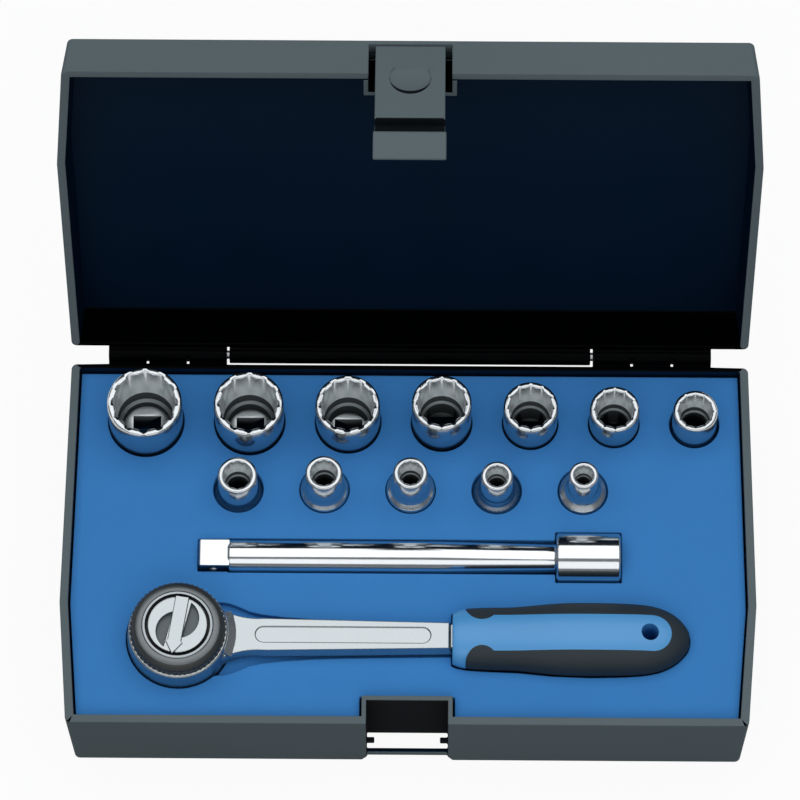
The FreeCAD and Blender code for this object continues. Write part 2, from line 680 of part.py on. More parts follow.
def add_cell(row, alias, value):
    """One more cell at the foot of the sheet."""
    sheet.set(f"A{row}", alias)
    sheet.set(f"B{row}", str(value))
    sheet.setAlias(f"B{row}", alias)
    return Size(f"Dim.{alias}", value)


def add_socket_cells():
    """Two cells of the sheet for each socket: its nut size and its depth in the foam."""
    rows = []
    row = len(SIZES)
    for sizes in (BACK_ROW, FRONT_ROW):
        cells = []
        for flats, sunk in sizes:
            name = f"{flats:g}".replace(".", "_")
            row += 2
            cells.append((add_cell(row - 1, f"flats_{name}", flats), add_cell(row, f"sunk_{name}", sunk)))
        rows.append(cells)
    doc.recompute()
    return rows


SOCKET_CELLS = add_socket_cells()


def hexagon(flats, first_angle):
    corner = flats / 2 / math.cos(math.radians(30))
    turns = [math.radians(first_angle + 60 * step) for step in range(6)]
    return [(corner * math.cos(angle), corner * math.sin(angle)) for angle in turns]


def make_socket(flats, sunk, x, y):
    """A socket: turned outside, two hexagons for its twelve points, a relief, a bore and a square hole."""
    name = "socket_" + f"{flats.value:g}".replace(".", "_") + "mm"
    body = new_body(name)
    length = dim.socket_length
    broken = dim.edge_break
    mouth = mouth_radius(flats)
    if mouth.value < dim.collar_diameter.value / 2:
        foot = dim.collar_diameter / 2
        cove = foot - mouth
        shoulder = [(foot, dim.collar_height + broken), (foot - broken, dim.collar_height + 2 * broken),
                    (mouth + cove * 0.35, dim.collar_height + 2 * broken + cove * 0.45),
                    (mouth, dim.collar_height + 2 * broken + cove * 1.3)]
    else:
        foot = mouth - dim.drive_end_step
        shoulder = [(foot, dim.socket_drive_depth), (mouth, dim.socket_drive_depth + dim.drive_end_step)]
    spin(body, "Revolution", [(0, 0), (foot - broken, 0), (foot, broken)] + shoulder
         + [(mouth, length - broken), (mouth - broken, length), (0, length)])
    mouth_depth = flats * dim.mouth_depth_slope + dim.mouth_depth_start
    points = length - mouth_depth
    step = points - flats * dim.relief_slope
    bore = flats * 0.435
    relief = flats * 0.505
    spin(body, "Groove", [(0, dim.socket_drive_depth), (bore, dim.socket_drive_depth), (bore, step),
                          (relief, step), (relief, points), (0, points)])
    for first_angle in (0, 30):
        pocket(body, outline(body, "XY_Plane", hexagon(flats, first_angle), length), mouth_depth)
    lead = flats / 2 / math.cos(math.radians(15))
    lead_in = length - broken
    spin(body, "Groove", [(0, length), (0, lead_in), (lead, lead_in), (lead + broken, length)])
    half = (dim.drive_square + dim.square_clearance) / 2
    pocket(body, outline(body, "XY_Plane", rectangle(-half, half, -half, half), 0),
           dim.socket_drive_depth, backwards=True)
    place(body, x, y, foam_z - sunk)
    return body


def foam_outline():
    """The foam from above, notched round the latch recess."""
    room = dim.foam_clearance
    corners = case_outline(dim.case_wall + room, dim.back_wall + room)
    notch_x = dim.recess_width / 2 + dim.cheek + room
    notch_y = recess_back_y + dim.cheek + room
    near = corners[0][1]
    return [corners[0], (-notch_x, near), (-notch_x, notch_y), (notch_x, notch_y), (notch_x, near)] \
        + corners[1:]


def make_foam():
    """Foam insert with a hole for each socket and pockets for the bar and the ratchet."""
    body = new_body("foam_insert")
    height = foam_z - dim.floor_thickness
    block = pad(body, outline(body, "XY_Plane", foam_outline(), foam_z), height, backwards=True)
    lean_in(body, block, is_upright, at_height(foam_z.value), dim.base_height, reverse=True)
    room = dim.pocket_clearance
    housing_x = dim.recess_width / 2 + dim.cheek + dim.foam_clearance
    housing_back = recess_back_y + dim.well_depth + dim.cheek + dim.foam_clearance
    housing_top = dim.well_height + dim.cheek + dim.foam_clearance
    housing = rectangle(-housing_x, housing_x, front_y, housing_back)
    pocket(body, outline(body, "XY_Plane", housing, housing_top), housing_top)
    for flats, sunk, x, y in socket_places():
        pocket(body, circle(body, "XY_Plane", widest_radius(flats) + room, foam_z, x, y), sunk)
    shaft_from = dim.extension_x + dim.extension_square_length
    bar_end = dim.extension_x + dim.extension_length
    socket_from = bar_end - dim.socket_end_length
    half = dim.drive_square / 2
    stretches = [(dim.extension_x - room, shaft_from, half + dim.ball_proud, half),
                 (shaft_from, socket_from - room, dim.shaft_radius, dim.shaft_radius + room),
                 (socket_from - room, bar_end + room, dim.socket_end_radius, dim.socket_end_radius + room)]
    for start, end, beside, under in stretches:
        trough = rectangle(start, end, dim.extension_y - beside - room, dim.extension_y + beside + room)
        pocket(body, outline(body, "XY_Plane", trough, foam_z), dim.extension_below_foam + under)
    head_x = dim.ratchet_x
    head_y = dim.ratchet_y
    well = circle(body, "XY_Plane", dim.head_radius + room, foam_z, head_x, head_y)
    pocket(body, well, foam_z - head_z)
    square_room = dim.drive_square * 0.72 + dim.ball_proud + room
    pocket(body, circle(body, "XY_Plane", square_room, head_z, head_x, head_y),
           dim.drive_square + dim.ball_radius + room + dim.edge_break)
    neck = dim.neck_width / 2 + room
    slot = [(head_x, head_y - neck), (head_x + dim.neck_end * 0.6, head_y - neck),
            (head_x + dim.neck_end, head_y - dim.shank_width / 2 - room),
            (head_x + dim.grip_start, head_y - dim.shank_end_width / 2 - room),
            (head_x + dim.grip_start, head_y + dim.shank_end_width / 2 + room),
            (head_x + dim.neck_end, head_y + dim.shank_width / 2 + room),
            (head_x + dim.neck_end * 0.6, head_y + neck), (head_x, head_y + neck)]
    pocket(body, outline(body, "XY_Plane", slot, foam_z),
           dim.shank_thickness / 2 - dim.shank_above_foam + room)
    plan = grip_plan()
    plan = [(plan[0][0] - room, plan[0][1])] + plan[1:-1] + [(plan[-1][0] + room, plan[-1][1])]
    bed = [(head_x + station, head_y - half - room) for station, half in plan]
    bed += [(x, 2 * head_y - y) for x, y in reversed(bed)]
    pocket(body, outline(body, "XY_Plane", bed, foam_z),
           dim.grip_height / 2 - dim.shank_above_foam + room)
    return body


def grip_plan():
    """Distance from the head axis and half the width of each section of the grip."""
    return [(dim.grip_start + dim.grip_length * along, dim.grip_width / 2 * share)
            for along, share in GRIP_SECTIONS]


def make_extension():
    """Extension bar: male square with a ball hole, tapering shaft and female end."""
    body = new_body("extension_bar")
    broken = dim.edge_break
    square = dim.extension_square_length
    total = dim.extension_length
    wide = dim.socket_end_radius
    from_end = total - dim.socket_end_length
    spin(body, "Revolution", [
        (square, 0), (square, dim.shaft_radius - broken), (square + broken, dim.shaft_radius),
        (dim.shaft_taper_start, dim.shaft_radius), (from_end - broken, dim.shaft_neck_radius),
        (from_end, dim.shaft_neck_radius + broken), (from_end, wide - broken), (from_end + broken, wide),
        (total - broken, wide), (total, wide - broken), (total, 0)], axis="H_Axis", role="XY_Plane")
    half = dim.drive_square / 2
    male = pad(body, outline(body, "YZ_Plane", rectangle(-half, half, -half, half)), square + broken)
    dress_edges(body, "Chamfer", male, lambda edge: edge.BoundBox.XMax < 0.01, broken)
    hole = half + dim.square_clearance / 2
    pocket(body, outline(body, "YZ_Plane", rectangle(-hole, hole, -hole, hole), total), dim.female_depth)
    ball_hole = circle(body, "XZ_Plane", dim.ball_radius + dim.running_clearance, half, square / 2, 0)
    pocket(body, ball_hole, dim.ball_hole_depth)
    place(body, dim.extension_x, dim.extension_y, extension_z)
    return body


def make_ball(name, x, y, z):
    """A detent ball."""
    ball = doc.addObject("Part::Sphere", name)
    bind(ball, "Radius", dim.ball_radius)
    place(ball, x, y, z)
    return ball


def make_coil(name, length, radius, turns, axis, degrees, x, y, z):
    """A coil spring that starts at a place and runs along its own turned axis."""
    line = doc.addObject("Part::Helix", f"{name}_line")
    bind(line, "Height", length)
    bind(line, "Pitch", length / turns)
    bind(line, "Radius", radius)
    wire = doc.addObject("Part::Circle", f"{name}_wire")
    bind(wire, "Radius", dim.spring_wire_radius)
    turn(wire, (1, 0, 0), Size("90", 90.0))
    place(wire, radius, 0, 0)
    coil = doc.addObject("Part::Sweep", name)
    coil.Sections = [wire]
    coil.Spine = (line, [])
    coil.Solid = True
    coil.Frenet = True
    doc.recompute()
    turn(coil, axis, degrees)
    place(coil, x, y, z)
    return coil


def make_detent(ball_name, spring_name, x, y, z):
    """A ball that stands proud of a square's front face, and the spring behind it."""
    half = dim.drive_square / 2
    ball_y = y - half - dim.ball_proud + dim.ball_radius
    ball = make_ball(ball_name, x, ball_y, z)
    floor_y = y - half + dim.ball_hole_depth - dim.spring_wire_radius
    length = floor_y - ball_y - dim.ball_radius - dim.spring_wire_radius
    coil = make_coil(spring_name, length, dim.ball_radius * 0.6, 3, (1, 0, 0), Size("90", 90.0),
                     x, floor_y, z)
    return ball, coil


# Heights inside the ratchet head, from its bottom.
drum_low = dim.head_floor + dim.edge_break / 4
drum_top = dim.head_floor + dim.drum_height
flange_top = drum_top + dim.flange_height
ring_low = flange_top + dim.edge_break / 4
dial_floor = dim.head_height + dim.hub_above_head - dim.dial_height
pawl_pin_low = dim.head_floor / 2
pawl_pin_top = drum_top + dim.flange_height * 0.6
plunger_z = (drum_low + drum_top) / 2
plunger_bore_end = dim.stem_radius * 0.7
GEAR_TEETH = int(dim.gear_teeth.value)
RIBS = int(dim.knurl_count.value)


def polar(radius, degrees):
    return (radius * cos_of(degrees), radius * sin_of(degrees))


def at_head(piece):
    """Put a piece that was drawn about the head's axis, from the head's bottom up, in its place."""
    place(piece, dim.ratchet_x, dim.ratchet_y, head_z)


def make_ratchet_body():
    """Forged ratchet: round head with teeth inside, neck, shank with a recessed panel, and tang."""
    body = new_body("ratchet_body")
    height = dim.head_height
    broken = dim.edge_break
    spin(body, "Revolution", [(0, 0), (dim.head_radius - 2 * broken, 0), (dim.head_radius, 2 * broken),
                              (dim.head_radius, height / 2), (dim.head_top_radius, height - broken),
                              (dim.head_top_radius - broken, height), (0, height)])
    near = dim.shank_width / 2
    far = dim.shank_end_width / 2
    neck = dim.neck_width / 2
    neck_start = dim.head_radius * 0.62
    cove = dim.neck_end * 0.85
    plan = [(0, -neck), (neck_start, -neck, -cove), (dim.neck_end, -near), (dim.grip_start, -far),
            (dim.grip_start, far), (dim.neck_end, near, -cove), (neck_start, neck), (0, neck)]
    for downwards in (False, True):
        half = pad(body, outline(body, "XY_Plane", plan, shank_z), dim.shank_thickness / 2, downwards)
        bind(half, "TaperAngle", -dim.shank_draft)
        doc.recompute()
    shank_top = shank_z + dim.shank_thickness / 2
    skirt_inner = dim.head_top_radius - broken
    skirt_outer = dim.head_radius + dim.skirt_reach
    skirt = outline(body, "XZ_Plane", [
        (skirt_inner, shank_top - broken), (skirt_outer, shank_top - broken),
        (skirt_outer, shank_top), (skirt_inner, height - broken)])
    flare = body.newObject("PartDesign::Revolution", "ratchet_body_skirt")
    flare.Profile = skirt
    flare.ReferenceAxis = (skirt, ["V_Axis"])
    flare.Midplane = True
    bind(flare, "Angle", dim.skirt_angle)
    doc.recompute()
    tang_end = dim.grip_start + dim.tang_length
    half_tang = dim.tang_width / 2
    tang = rectangle(dim.grip_start - broken, tang_end, -half_tang, half_tang)
    pad(body, outline(body, "XY_Plane", tang, shank_z), dim.shank_thickness - 2 * broken, middle=True)
    panel_top = shank_z + dim.shank_thickness / 2
    half_panel = dim.panel_width / 2
    left = dim.panel_start + half_panel
    right = dim.panel_end - half_panel
    panel = [(left, -half_panel), (right, -half_panel, half_panel), (dim.panel_end, 0, half_panel),
             (right, half_panel), (left, half_panel, half_panel), (dim.panel_start, 0, half_panel)]
    pocket(body, outline(body, "XY_Plane", panel, panel_top), dim.panel_depth)
    step = 360.0 / GEAR_TEETH
    teeth = []
    for tooth in range(GEAR_TEETH):
        teeth.append(polar(dim.gear_root_radius, tooth * step))
        teeth.append(polar(dim.gear_tip_radius, (tooth + 0.5) * step))
    pocket(body, outline(body, "XY_Plane", teeth, height), height - dim.head_floor)
    pocket(body, circle(body, "XY_Plane", dim.top_bore_radius, height), height - drum_top)
    pocket(body, circle(body, "XY_Plane", dim.journal_radius + dim.running_clearance, height), height)
    groove = rectangle(dim.top_bore_radius - broken, dim.top_bore_radius + dim.ring_bite,
                       ring_low, ring_low + dim.ring_height)
    spin(body, "Groove", groove)
    at_head(body)
    return body


def make_spindle():
    """Drive spindle: square, journal, drum with the pawl's window, flange, and hub with the dial's recess."""
    body = new_body("drive_spindle")
    broken = dim.edge_break
    top = dim.head_height + dim.hub_above_head
    spin(body, "Revolution", [
        (0, 0), (dim.journal_radius, 0), (dim.journal_radius, drum_low), (dim.drum_radius, drum_low),
        (dim.drum_radius, drum_top), (dim.flange_radius, drum_top), (dim.flange_radius, flange_top),
        (dim.hub_radius, flange_top), (dim.hub_radius, top - broken / 2), (dim.hub_radius - broken / 2, top),
        (0, top)])
    half = dim.drive_square / 2
    reach = dim.drive_square + dim.ball_radius
    male = pad(body, outline(body, "XY_Plane", rectangle(-half, half, -half, half), -reach), reach)
    dress_edges(body, "Chamfer", male, lambda edge: edge.BoundBox.ZMax < 0.01 - reach.value, broken)
    ball_hole = circle(body, "XZ_Plane", dim.ball_radius + dim.running_clearance, half, 0, -reach / 2)
    pocket(body, ball_hole, dim.ball_hole_depth)
    pocket(body, circle(body, "XY_Plane", dim.dial_bore_radius, top), dim.dial_height)
    stem_hole = circle(body, "XY_Plane", dim.stem_radius + dim.running_clearance, dial_floor)
    pocket(body, stem_hole, dial_floor - drum_low)
    far = dim.gear_root_radius * 1.2
    span = dim.pawl_tip_angle + 15
    window = [(0, 0), polar(far, -span), (far, -far), (far, far), polar(far, span)]
    pocket(body, outline(body, "XY_Plane", window, drum_top), drum_top - drum_low)
    pin_hole = circle(body, "XY_Plane", dim.pawl_pin_radius, pawl_pin_top, dim.pawl_pivot, 0)
    pocket(body, pin_hole, pawl_pin_top - pawl_pin_low)
    at_head(body)
    return body


def make_retaining_ring():
    """Split ring that keeps the spindle in the head."""
    body = new_body("retaining_ring")
    outer = dim.top_bore_radius + dim.ring_bite - dim.running_clearance
    inner = dim.hub_radius + dim.edge_break
    spin(body, "Revolution", rectangle(inner, outer, ring_low, ring_low + dim.ring_height))
    gap = rectangle(-2 * outer, 0, -dim.ring_height, dim.ring_height)
    pocket(body, outline(body, "XY_Plane", gap, ring_low + dim.ring_height), dim.ring_height)
    at_head(body)
    return body


def make_thumb_ring():
    """Black ring on the spindle's hub: a ribbed upright edge and a slope up to the bezel."""
    body = new_body("thumb_ring")
    low = dim.head_height + dim.thumb_ring_gap
    edge_top = low + dim.thumb_ring_edge
    top = dim.head_height + dim.hub_above_head - dim.edge_break / 2
    outer = dim.thumb_ring_radius
    inner = outer - dim.knurl_depth
    step = 360.0 / RIBS
    ribs = []
    for rib in range(RIBS):
        ribs.append(polar(outer, rib * step))
        ribs.append(polar(inner, (rib + 0.5) * step))
    pad(body, outline(body, "XY_Plane", ribs, low), dim.thumb_ring_edge)
    bevel = dim.edge_break
    spin(body, "Revolution", [
        (0, edge_top), (inner - dim.knurl_depth, edge_top), (outer - bevel * 2, top - bevel * 2),
        (outer - bevel * 4, top - bevel / 2), (dim.hub_radius + bevel, top), (0, top)])
    pocket(body, circle(body, "XY_Plane", dim.hub_radius + dim.running_clearance, top), top - low)
    at_head(body)
    return body


def aimed(sketch, bearing):
    """Turn a level sketch so that its X axis points along the bearing."""
    sketch.AttachmentOffset = FreeCAD.Placement(
        FreeCAD.Vector(), FreeCAD.Rotation(FreeCAD.Vector(0, 0, -1), 1))
    bind(sketch, "AttachmentOffset.Rotation.Angle", -bearing)
    return sketch


def make_dial():
    """Reversing dial: a disc with a pointed bar between two finger scoops, and a bored stem."""
    body = new_body("reversing_dial")
    top = dial_floor + dim.dial_height
    stem_end = drum_low + dim.edge_break
    spin(body, "Revolution", [
        (0, stem_end), (dim.stem_radius, stem_end), (dim.stem_radius, dial_floor),
        (dim.dial_radius, dial_floor), (dim.dial_radius, top - dim.edge_break / 2),
        (dim.dial_radius - dim.edge_break / 2, top), (0, top)])
    half_bar = dim.dial_bar_width / 2
    reach = dim.dial_bar_reach
    bend = dim.dial_scoop_radius
    bearing = dim.dial_bearing - dim.dial_throw / 2
    scoop = [(-reach * 0.78, half_bar * 1.5), (reach * 0.4, half_bar, bend)]
    pointer = [(-reach * 0.93, -half_bar), (reach * 0.55, -half_bar), (reach * 0.6, -half_bar * 1.3),
               (reach, 0), (reach * 0.6, half_bar * 1.3), (reach * 0.55, half_bar),
               (-reach * 0.93, half_bar)]
    for corners in (scoop, [(-corner[0], -corner[1]) + tuple(corner[2:]) for corner in scoop]):
        pocket(body, aimed(outline(body, "XY_Plane", corners, top), bearing), dim.dial_scoop_depth)
    pad(body, aimed(outline(body, "XY_Plane", pointer, top), bearing), dim.dial_bar_height)
    bore = circle(body, "YZ_Plane", dim.plunger_radius + dim.running_clearance, dim.stem_radius * 2,
                  0, plunger_z)
    pocket(body, bore, dim.stem_radius * 2 + plunger_bore_end)
    turn(body, (0, 0, 1), dim.dial_throw / 2)
    at_head(body)
    return body


def make_plunger():
    """Plunger that the dial's stem carries round and the spring pushes at the pawl."""
    body = new_body("pawl_plunger")
    radius = dim.plunger_radius
    start = dim.plunger_reach - dim.plunger_length
    spin(body, "Revolution", [(start, 0), (start, radius), (dim.plunger_reach - radius / 2, radius),
                              (dim.plunger_reach, radius / 2), (dim.plunger_reach, 0)],
         axis="H_Axis", role="XY_Plane")
    turn(body, (0, 0, 1), dim.dial_throw / 2)
    place(body, dim.ratchet_x, dim.ratchet_y, head_z + plunger_z)
    return body


def make_plunger_spring():
    """Spring behind the plunger, in the dial's stem."""
    half_throw = math.radians(dim.dial_throw.value / 2)
    sideways = (-math.sin(half_throw), math.cos(half_throw), 0)
    wire = dim.spring_wire_radius
    length = dim.plunger_reach - dim.plunger_length + plunger_bore_end - 2 * wire
    behind = plunger_bore_end - wire
    return make_coil("pawl_spring", length, dim.plunger_radius - 1.5 * wire, 4, sideways, Size("90", 90.0),
                     dim.ratchet_x - behind * cos_of(dim.dial_throw / 2),
                     dim.ratchet_y - behind * sin_of(dim.dial_throw / 2), head_z + plunger_z)


def make_pawl():
    """Double-ended pawl, drawn about its pin and rocked so that one tooth is in the gear."""
    body = new_body("pawl")
    foot = dim.pawl_back_radius
    tip = dim.pawl_tip_angle
    side = dim.pawl_tooth_angle
    one_end = [polar(foot, tip - side), polar(dim.pawl_tip_radius, tip), polar(foot, tip + side),
               polar(foot - 1.85, tip + side * 0.8)]
    corners = one_end + [(dim.pawl_front_radius, 0)] + [(x, -y) for x, y in reversed(one_end)]
    corners = [(x - dim.pawl_pivot, y) for x, y in corners]
    corners[-1] += (foot,)
    low = drum_low + dim.edge_break / 4
    height = drum_top - dim.edge_break / 4 - low
    pad(body, outline(body, "XY_Plane", corners, low), height)
    pocket(body, circle(body, "XY_Plane", dim.pawl_pin_radius + dim.running_clearance, low), height,
           backwards=True)
    turn(body, (0, 0, -1), dim.pawl_rock / 2)
    place(body, dim.ratchet_x + dim.pawl_pivot, dim.ratchet_y, head_z)
    return body


def make_pawl_pin():
    """Pin of the pawl, held in the spindle above and below the window."""
    pin = doc.addObject("Part::Cylinder", "pawl_pin")
    bind(pin, "Radius", dim.pawl_pin_radius)
    bind(pin, "Height", pawl_pin_top - pawl_pin_low)
    place(pin, dim.ratchet_x + dim.pawl_pivot, dim.ratchet_y, head_z + pawl_pin_low)
    return pin


def new_prism(name, corners, low, height):
    """An upright prism for cutting, outside any body."""
    sketch = doc.addObject("Sketcher::SketchObject", f"{name}_sketch")
    draw_outline(sketch, corners)
    place(sketch, 0, 0, low)
    prism = doc.addObject("Part::Extrusion", name)
    prism.Base = sketch
    prism.DirMode = "Normal"
    prism.Solid = True
    bind(prism, "LengthFwd", height)
    return prism


def combine(kind, name, base, tool):
    result = doc.addObject(f"Part::{kind}", name)
    result.Base = base
    result.Tool = tool
    doc.recompute()
    return result


def make_grip():
    """Two-part grip: a loft through oval sections, split by an upright outline into core and soft sides."""
    middle_z = head_z + shank_z
    rings = []
    for index, (station, half) in enumerate(grip_plan()):
        ring = doc.addObject("Part::Ellipse", f"grip_ring_{index}")
        bind(ring, "MajorRadius", half)
        bind(ring, "MinorRadius", half * dim.grip_height / dim.grip_width)
        turn(ring, (1, 1, 1), Size("120", 120.0))
        place(ring, dim.ratchet_x + station, dim.ratchet_y, middle_z)
        rings.append(ring)
    whole = doc.addObject("Part::Loft", "grip_whole")
    whole.Sections = rings
    whole.Solid = True
    doc.recompute()
    start = dim.ratchet_x + dim.grip_start
    end = start + dim.grip_length
    wide = dim.grip_width
    collar = start + dim.collar_length
    half = dim.inlay_width / 2
    waist = half - dim.lobe_reach
    lobe = collar + dim.lobe_length
    panel_end = end - dim.inlay_end_wall
    y = dim.ratchet_y
    lobe_radius = dim.lobe_length * 0.6
    one_side = [(start - wide, wide), (collar, wide), (collar, half + dim.lobe_length / 3),
                (collar + dim.lobe_length * 0.55, waist), (lobe, half), (panel_end - half, half)]
    corners = [(x, y - far) for x, far in one_side] + [(panel_end, y)] \
        + [(x, y + far) for x, far in reversed(one_side)]
    corners[2] += (-lobe_radius,)
    corners[3] += (-lobe_radius,)
    corners[len(one_side) - 1] += (half,)
    corners[len(one_side)] += (half,)
    corners[-4 - 1] += (-lobe_radius,)
    corners[-4] += (-lobe_radius,)
    depth = dim.grip_height * 2
    low = middle_z - dim.grip_height
    panel = new_prism("grip_panel", corners, low, depth)
    tang_half = dim.tang_width / 2
    tang = doc.addObject("Part::Box", "grip_tang_room")
    bind(tang, "Length", dim.tang_length + wide)
    bind(tang, "Width", dim.tang_width)
    bind(tang, "Height", dim.shank_thickness - 2 * dim.edge_break)
    place(tang, start - wide, y - tang_half, middle_z - dim.shank_thickness / 2 + dim.edge_break)
    hole = doc.addObject("Part::Cylinder", "grip_hang_hole")
    bind(hole, "Radius", dim.hang_hole_radius)
    bind(hole, "Height", depth)
    place(hole, end - dim.hang_hole_from_end, y, low)
    core = combine("Common", "grip_hard", whole, panel)
    core = combine("Cut", "grip_hard_bored", core, tang)
    core = combine("Cut", "grip_core", core, hole)
    sides = combine("Cut", "grip_sides", whole, panel)
    return core, sides


def check_and_write(pieces):
    """Stop on any failed feature or bad solid, then write each piece to its own file."""
    doc.recompute()
    failed = [item.Name for item in doc.Objects if {"Invalid", "Error"} & set(item.State)]
    if failed:
        raise RuntimeError(f"failed features: {failed}")
    os.makedirs("parts", exist_ok=True)
    for piece in pieces:
        shape = piece.Shape
        if shape.isNull() or not shape.isValid() or not shape.Solids:
            raise RuntimeError(f"{piece.Label} is not a sound solid")
        shape.exportStep(f"parts/{piece.Label}.step")
        print(piece.Label, len(shape.Solids), round(shape.Volume, 2))


square_x = dim.extension_x + dim.extension_square_length / 2
drive_square_z = head_z - (dim.drive_square + dim.ball_radius) / 2

pieces = [make_base_shell(), make_lid_shell(), make_hinge_pin(), make_latch(), make_latch_pin()]
pieces += [make_foam()]
pieces += [make_socket(*where) for where in socket_places()]
pieces += [make_extension()]
pieces += make_detent("extension_ball", "extension_ball_spring", square_x, dim.extension_y, extension_z)
pieces += [make_ratchet_body(), make_spindle(), make_retaining_ring(), make_thumb_ring(), make_dial()]
pieces += [make_plunger(), make_plunger_spring(), make_pawl(), make_pawl_pin()]
pieces += make_detent("drive_ball", "drive_ball_spring", dim.ratchet_x, dim.ratchet_y, drive_square_z)
pieces += make_grip()
check_and_write(pieces)
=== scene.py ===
# %% [markdown]
# # A socket set in its case
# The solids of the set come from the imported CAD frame, with every piece in its real place. They could
# be modelled again here, but then the two would drift apart. So this lesson dresses the solids
# themselves: a camera where the real one stood, soft studio light, finishes made from shader nodes, and
# softened copies, because no real edge is perfectly sharp.

# %% Load the frame
import json
import math

import bpy
import bmesh
from mathutils import Euler, Matrix, Vector


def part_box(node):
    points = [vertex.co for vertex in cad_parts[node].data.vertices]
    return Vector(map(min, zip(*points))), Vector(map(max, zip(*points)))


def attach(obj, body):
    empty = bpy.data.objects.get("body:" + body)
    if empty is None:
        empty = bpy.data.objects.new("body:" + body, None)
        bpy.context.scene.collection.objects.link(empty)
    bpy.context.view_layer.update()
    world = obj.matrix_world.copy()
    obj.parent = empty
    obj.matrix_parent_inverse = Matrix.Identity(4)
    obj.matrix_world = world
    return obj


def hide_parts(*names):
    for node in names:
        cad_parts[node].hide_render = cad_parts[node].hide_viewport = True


MM = 0.001

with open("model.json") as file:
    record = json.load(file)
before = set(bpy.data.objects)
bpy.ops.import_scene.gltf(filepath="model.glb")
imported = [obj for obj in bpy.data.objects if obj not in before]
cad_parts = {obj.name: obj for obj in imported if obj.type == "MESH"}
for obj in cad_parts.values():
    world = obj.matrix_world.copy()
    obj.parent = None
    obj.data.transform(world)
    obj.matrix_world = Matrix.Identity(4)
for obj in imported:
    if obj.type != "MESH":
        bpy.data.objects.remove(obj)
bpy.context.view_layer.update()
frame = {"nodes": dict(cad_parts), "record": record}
nodes = frame["nodes"]
scene = bpy.context.scene
scene.view_settings.view_transform = "Standard"

# %% [markdown]
# ## The camera
# The picture was taken with a long lens from high in front of the case. A camera could be moved by eye
# until the view looks right, but a small error shows at once on the long rims. So its place and its
# turn were worked out from the corners of the two rims, and the solids fall where the photograph shows
# them. The place is in millimetres and the turn in degrees.

# %% Camera
CAMERA_PLACE = Vector((6.943, -540.823, 1479.955)) * MM
CAMERA_TURN = (21.6535, 0.1809, 0.4532)
LENS = 304.43
SENSOR = 36.0
FARTHEST = 20.0

camera_data = bpy.data.cameras.new("camera")
camera_data.lens = LENS
camera_data.sensor_width = SENSOR
camera_data.clip_end = FARTHEST
camera = bpy.data.objects.new("camera", camera_data)
camera.location = CAMERA_PLACE
camera.rotation_euler = Euler([math.radians(angle) for angle in CAMERA_TURN])
scene.collection.objects.link(camera)
scene.camera = camera
print("camera at", tuple(round(c, 3) for c in camera.location))

# %% [markdown]
# ## Node helpers
# Every finish below is a small tree of shader nodes. A tree can be drawn by hand in the shader editor,
# but a script shows each value at a glance. Three short helpers keep it readable: one adds a node and
# sets its values, one joins two sockets, and one starts a material with only its shader and its output.


# %% Helpers for nodes, and a first material
def add_node(tree, kind, **values):
    """Add a node, and set its own properties and the inputs that are named."""
    node = tree.nodes.new(kind)
    for name, value in values.items():
        if hasattr(node, name):
            setattr(node, name, value)
        else:
            node.inputs[name.replace("_", " ")].default_value = value
    return node


def join(tree, source, target):
    """Lead an output to an input."""
    tree.links.new(source, target)


def new_material(name):
    """A material with only its shader and output."""
    material = bpy.data.materials.new(name)
    material.use_nodes = True
    tree = material.node_tree
    tree.nodes.clear()
    shader = add_node(tree, "ShaderNodeBsdfPrincipled")
    output = add_node(tree, "ShaderNodeOutputMaterial")
    join(tree, shader.outputs["BSDF"], output.inputs["Surface"])
    return material, tree, shader


paper, paper_tree, paper_shader = new_material("paper")
print("material", paper.name, "nodes", [node.name for node in paper_tree.nodes])

# %% [markdown]
# ## White paper
# The set stands on a white ground, like a sheet of paper. Stronger lamps would turn the floor white, but
# they would bleach the set too. So the paper glows for the rays that come from the camera or off the
# metal, and it is a plain surface, with a soft shadow on it, for all the others.

# %% White paper
PAPER_SIZE = 6.0
PAPER_COLOR = (0.27, 0.28, 0.29, 1)
PAPER_ROUGHNESS = 0.9
GLOW_STRENGTH = 1.09
GLOW_SHARE = 0.86


def higher(tree, first, second):
    """The higher of two values."""
    node = add_node(tree, "ShaderNodeMath", operation="MAXIMUM")
    join(tree, first, node.inputs[0])
    join(tree, second, node.inputs[1])
    return node.outputs[0]


def add_glow(tree, shader):
    """Mix a glow into the shader, for the rays that the camera, the metal and glass send."""
    rays = add_node(tree, "ShaderNodeLightPath")
    seen = higher(tree, rays.outputs["Is Camera Ray"], rays.outputs["Is Glossy Ray"])
    seen = higher(tree, seen, rays.outputs["Is Transmission Ray"])
    share = add_node(tree, "ShaderNodeMath", operation="MULTIPLY")
    share.inputs[1].default_value = GLOW_SHARE
    glow = add_node(tree, "ShaderNodeEmission", Strength=GLOW_STRENGTH)
    mix = add_node(tree, "ShaderNodeMixShader")
    output = next(node for node in tree.nodes if node.type == "OUTPUT_MATERIAL")
    join(tree, seen, share.inputs[0])
    join(tree, share.outputs[0], mix.inputs[0])
    join(tree, shader.outputs["BSDF"], mix.inputs[1])
    join(tree, glow.outputs[0], mix.inputs[2])
    join(tree, mix.outputs[0], output.inputs["Surface"])


paper_shader.inputs["Base Color"].default_value = PAPER_COLOR
paper_shader.inputs["Roughness"].default_value = PAPER_ROUGHNESS
add_glow(paper_tree, paper_shader)
half = PAPER_SIZE / 2
floor_corners = [(-half, -half, 0), (half, -half, 0), (half, half, 0), (-half, half, 0)]
floor_mesh = bpy.data.meshes.new("floor")
floor_mesh.from_pydata(floor_corners, [], [(0, 1, 2, 3)])
floor_mesh.materials.append(paper)
floor = bpy.data.objects.new("floor", floor_mesh)
scene.collection.objects.link(floor)
print("paper", PAPER_SIZE, "m wide, nodes", len(paper_tree.nodes))

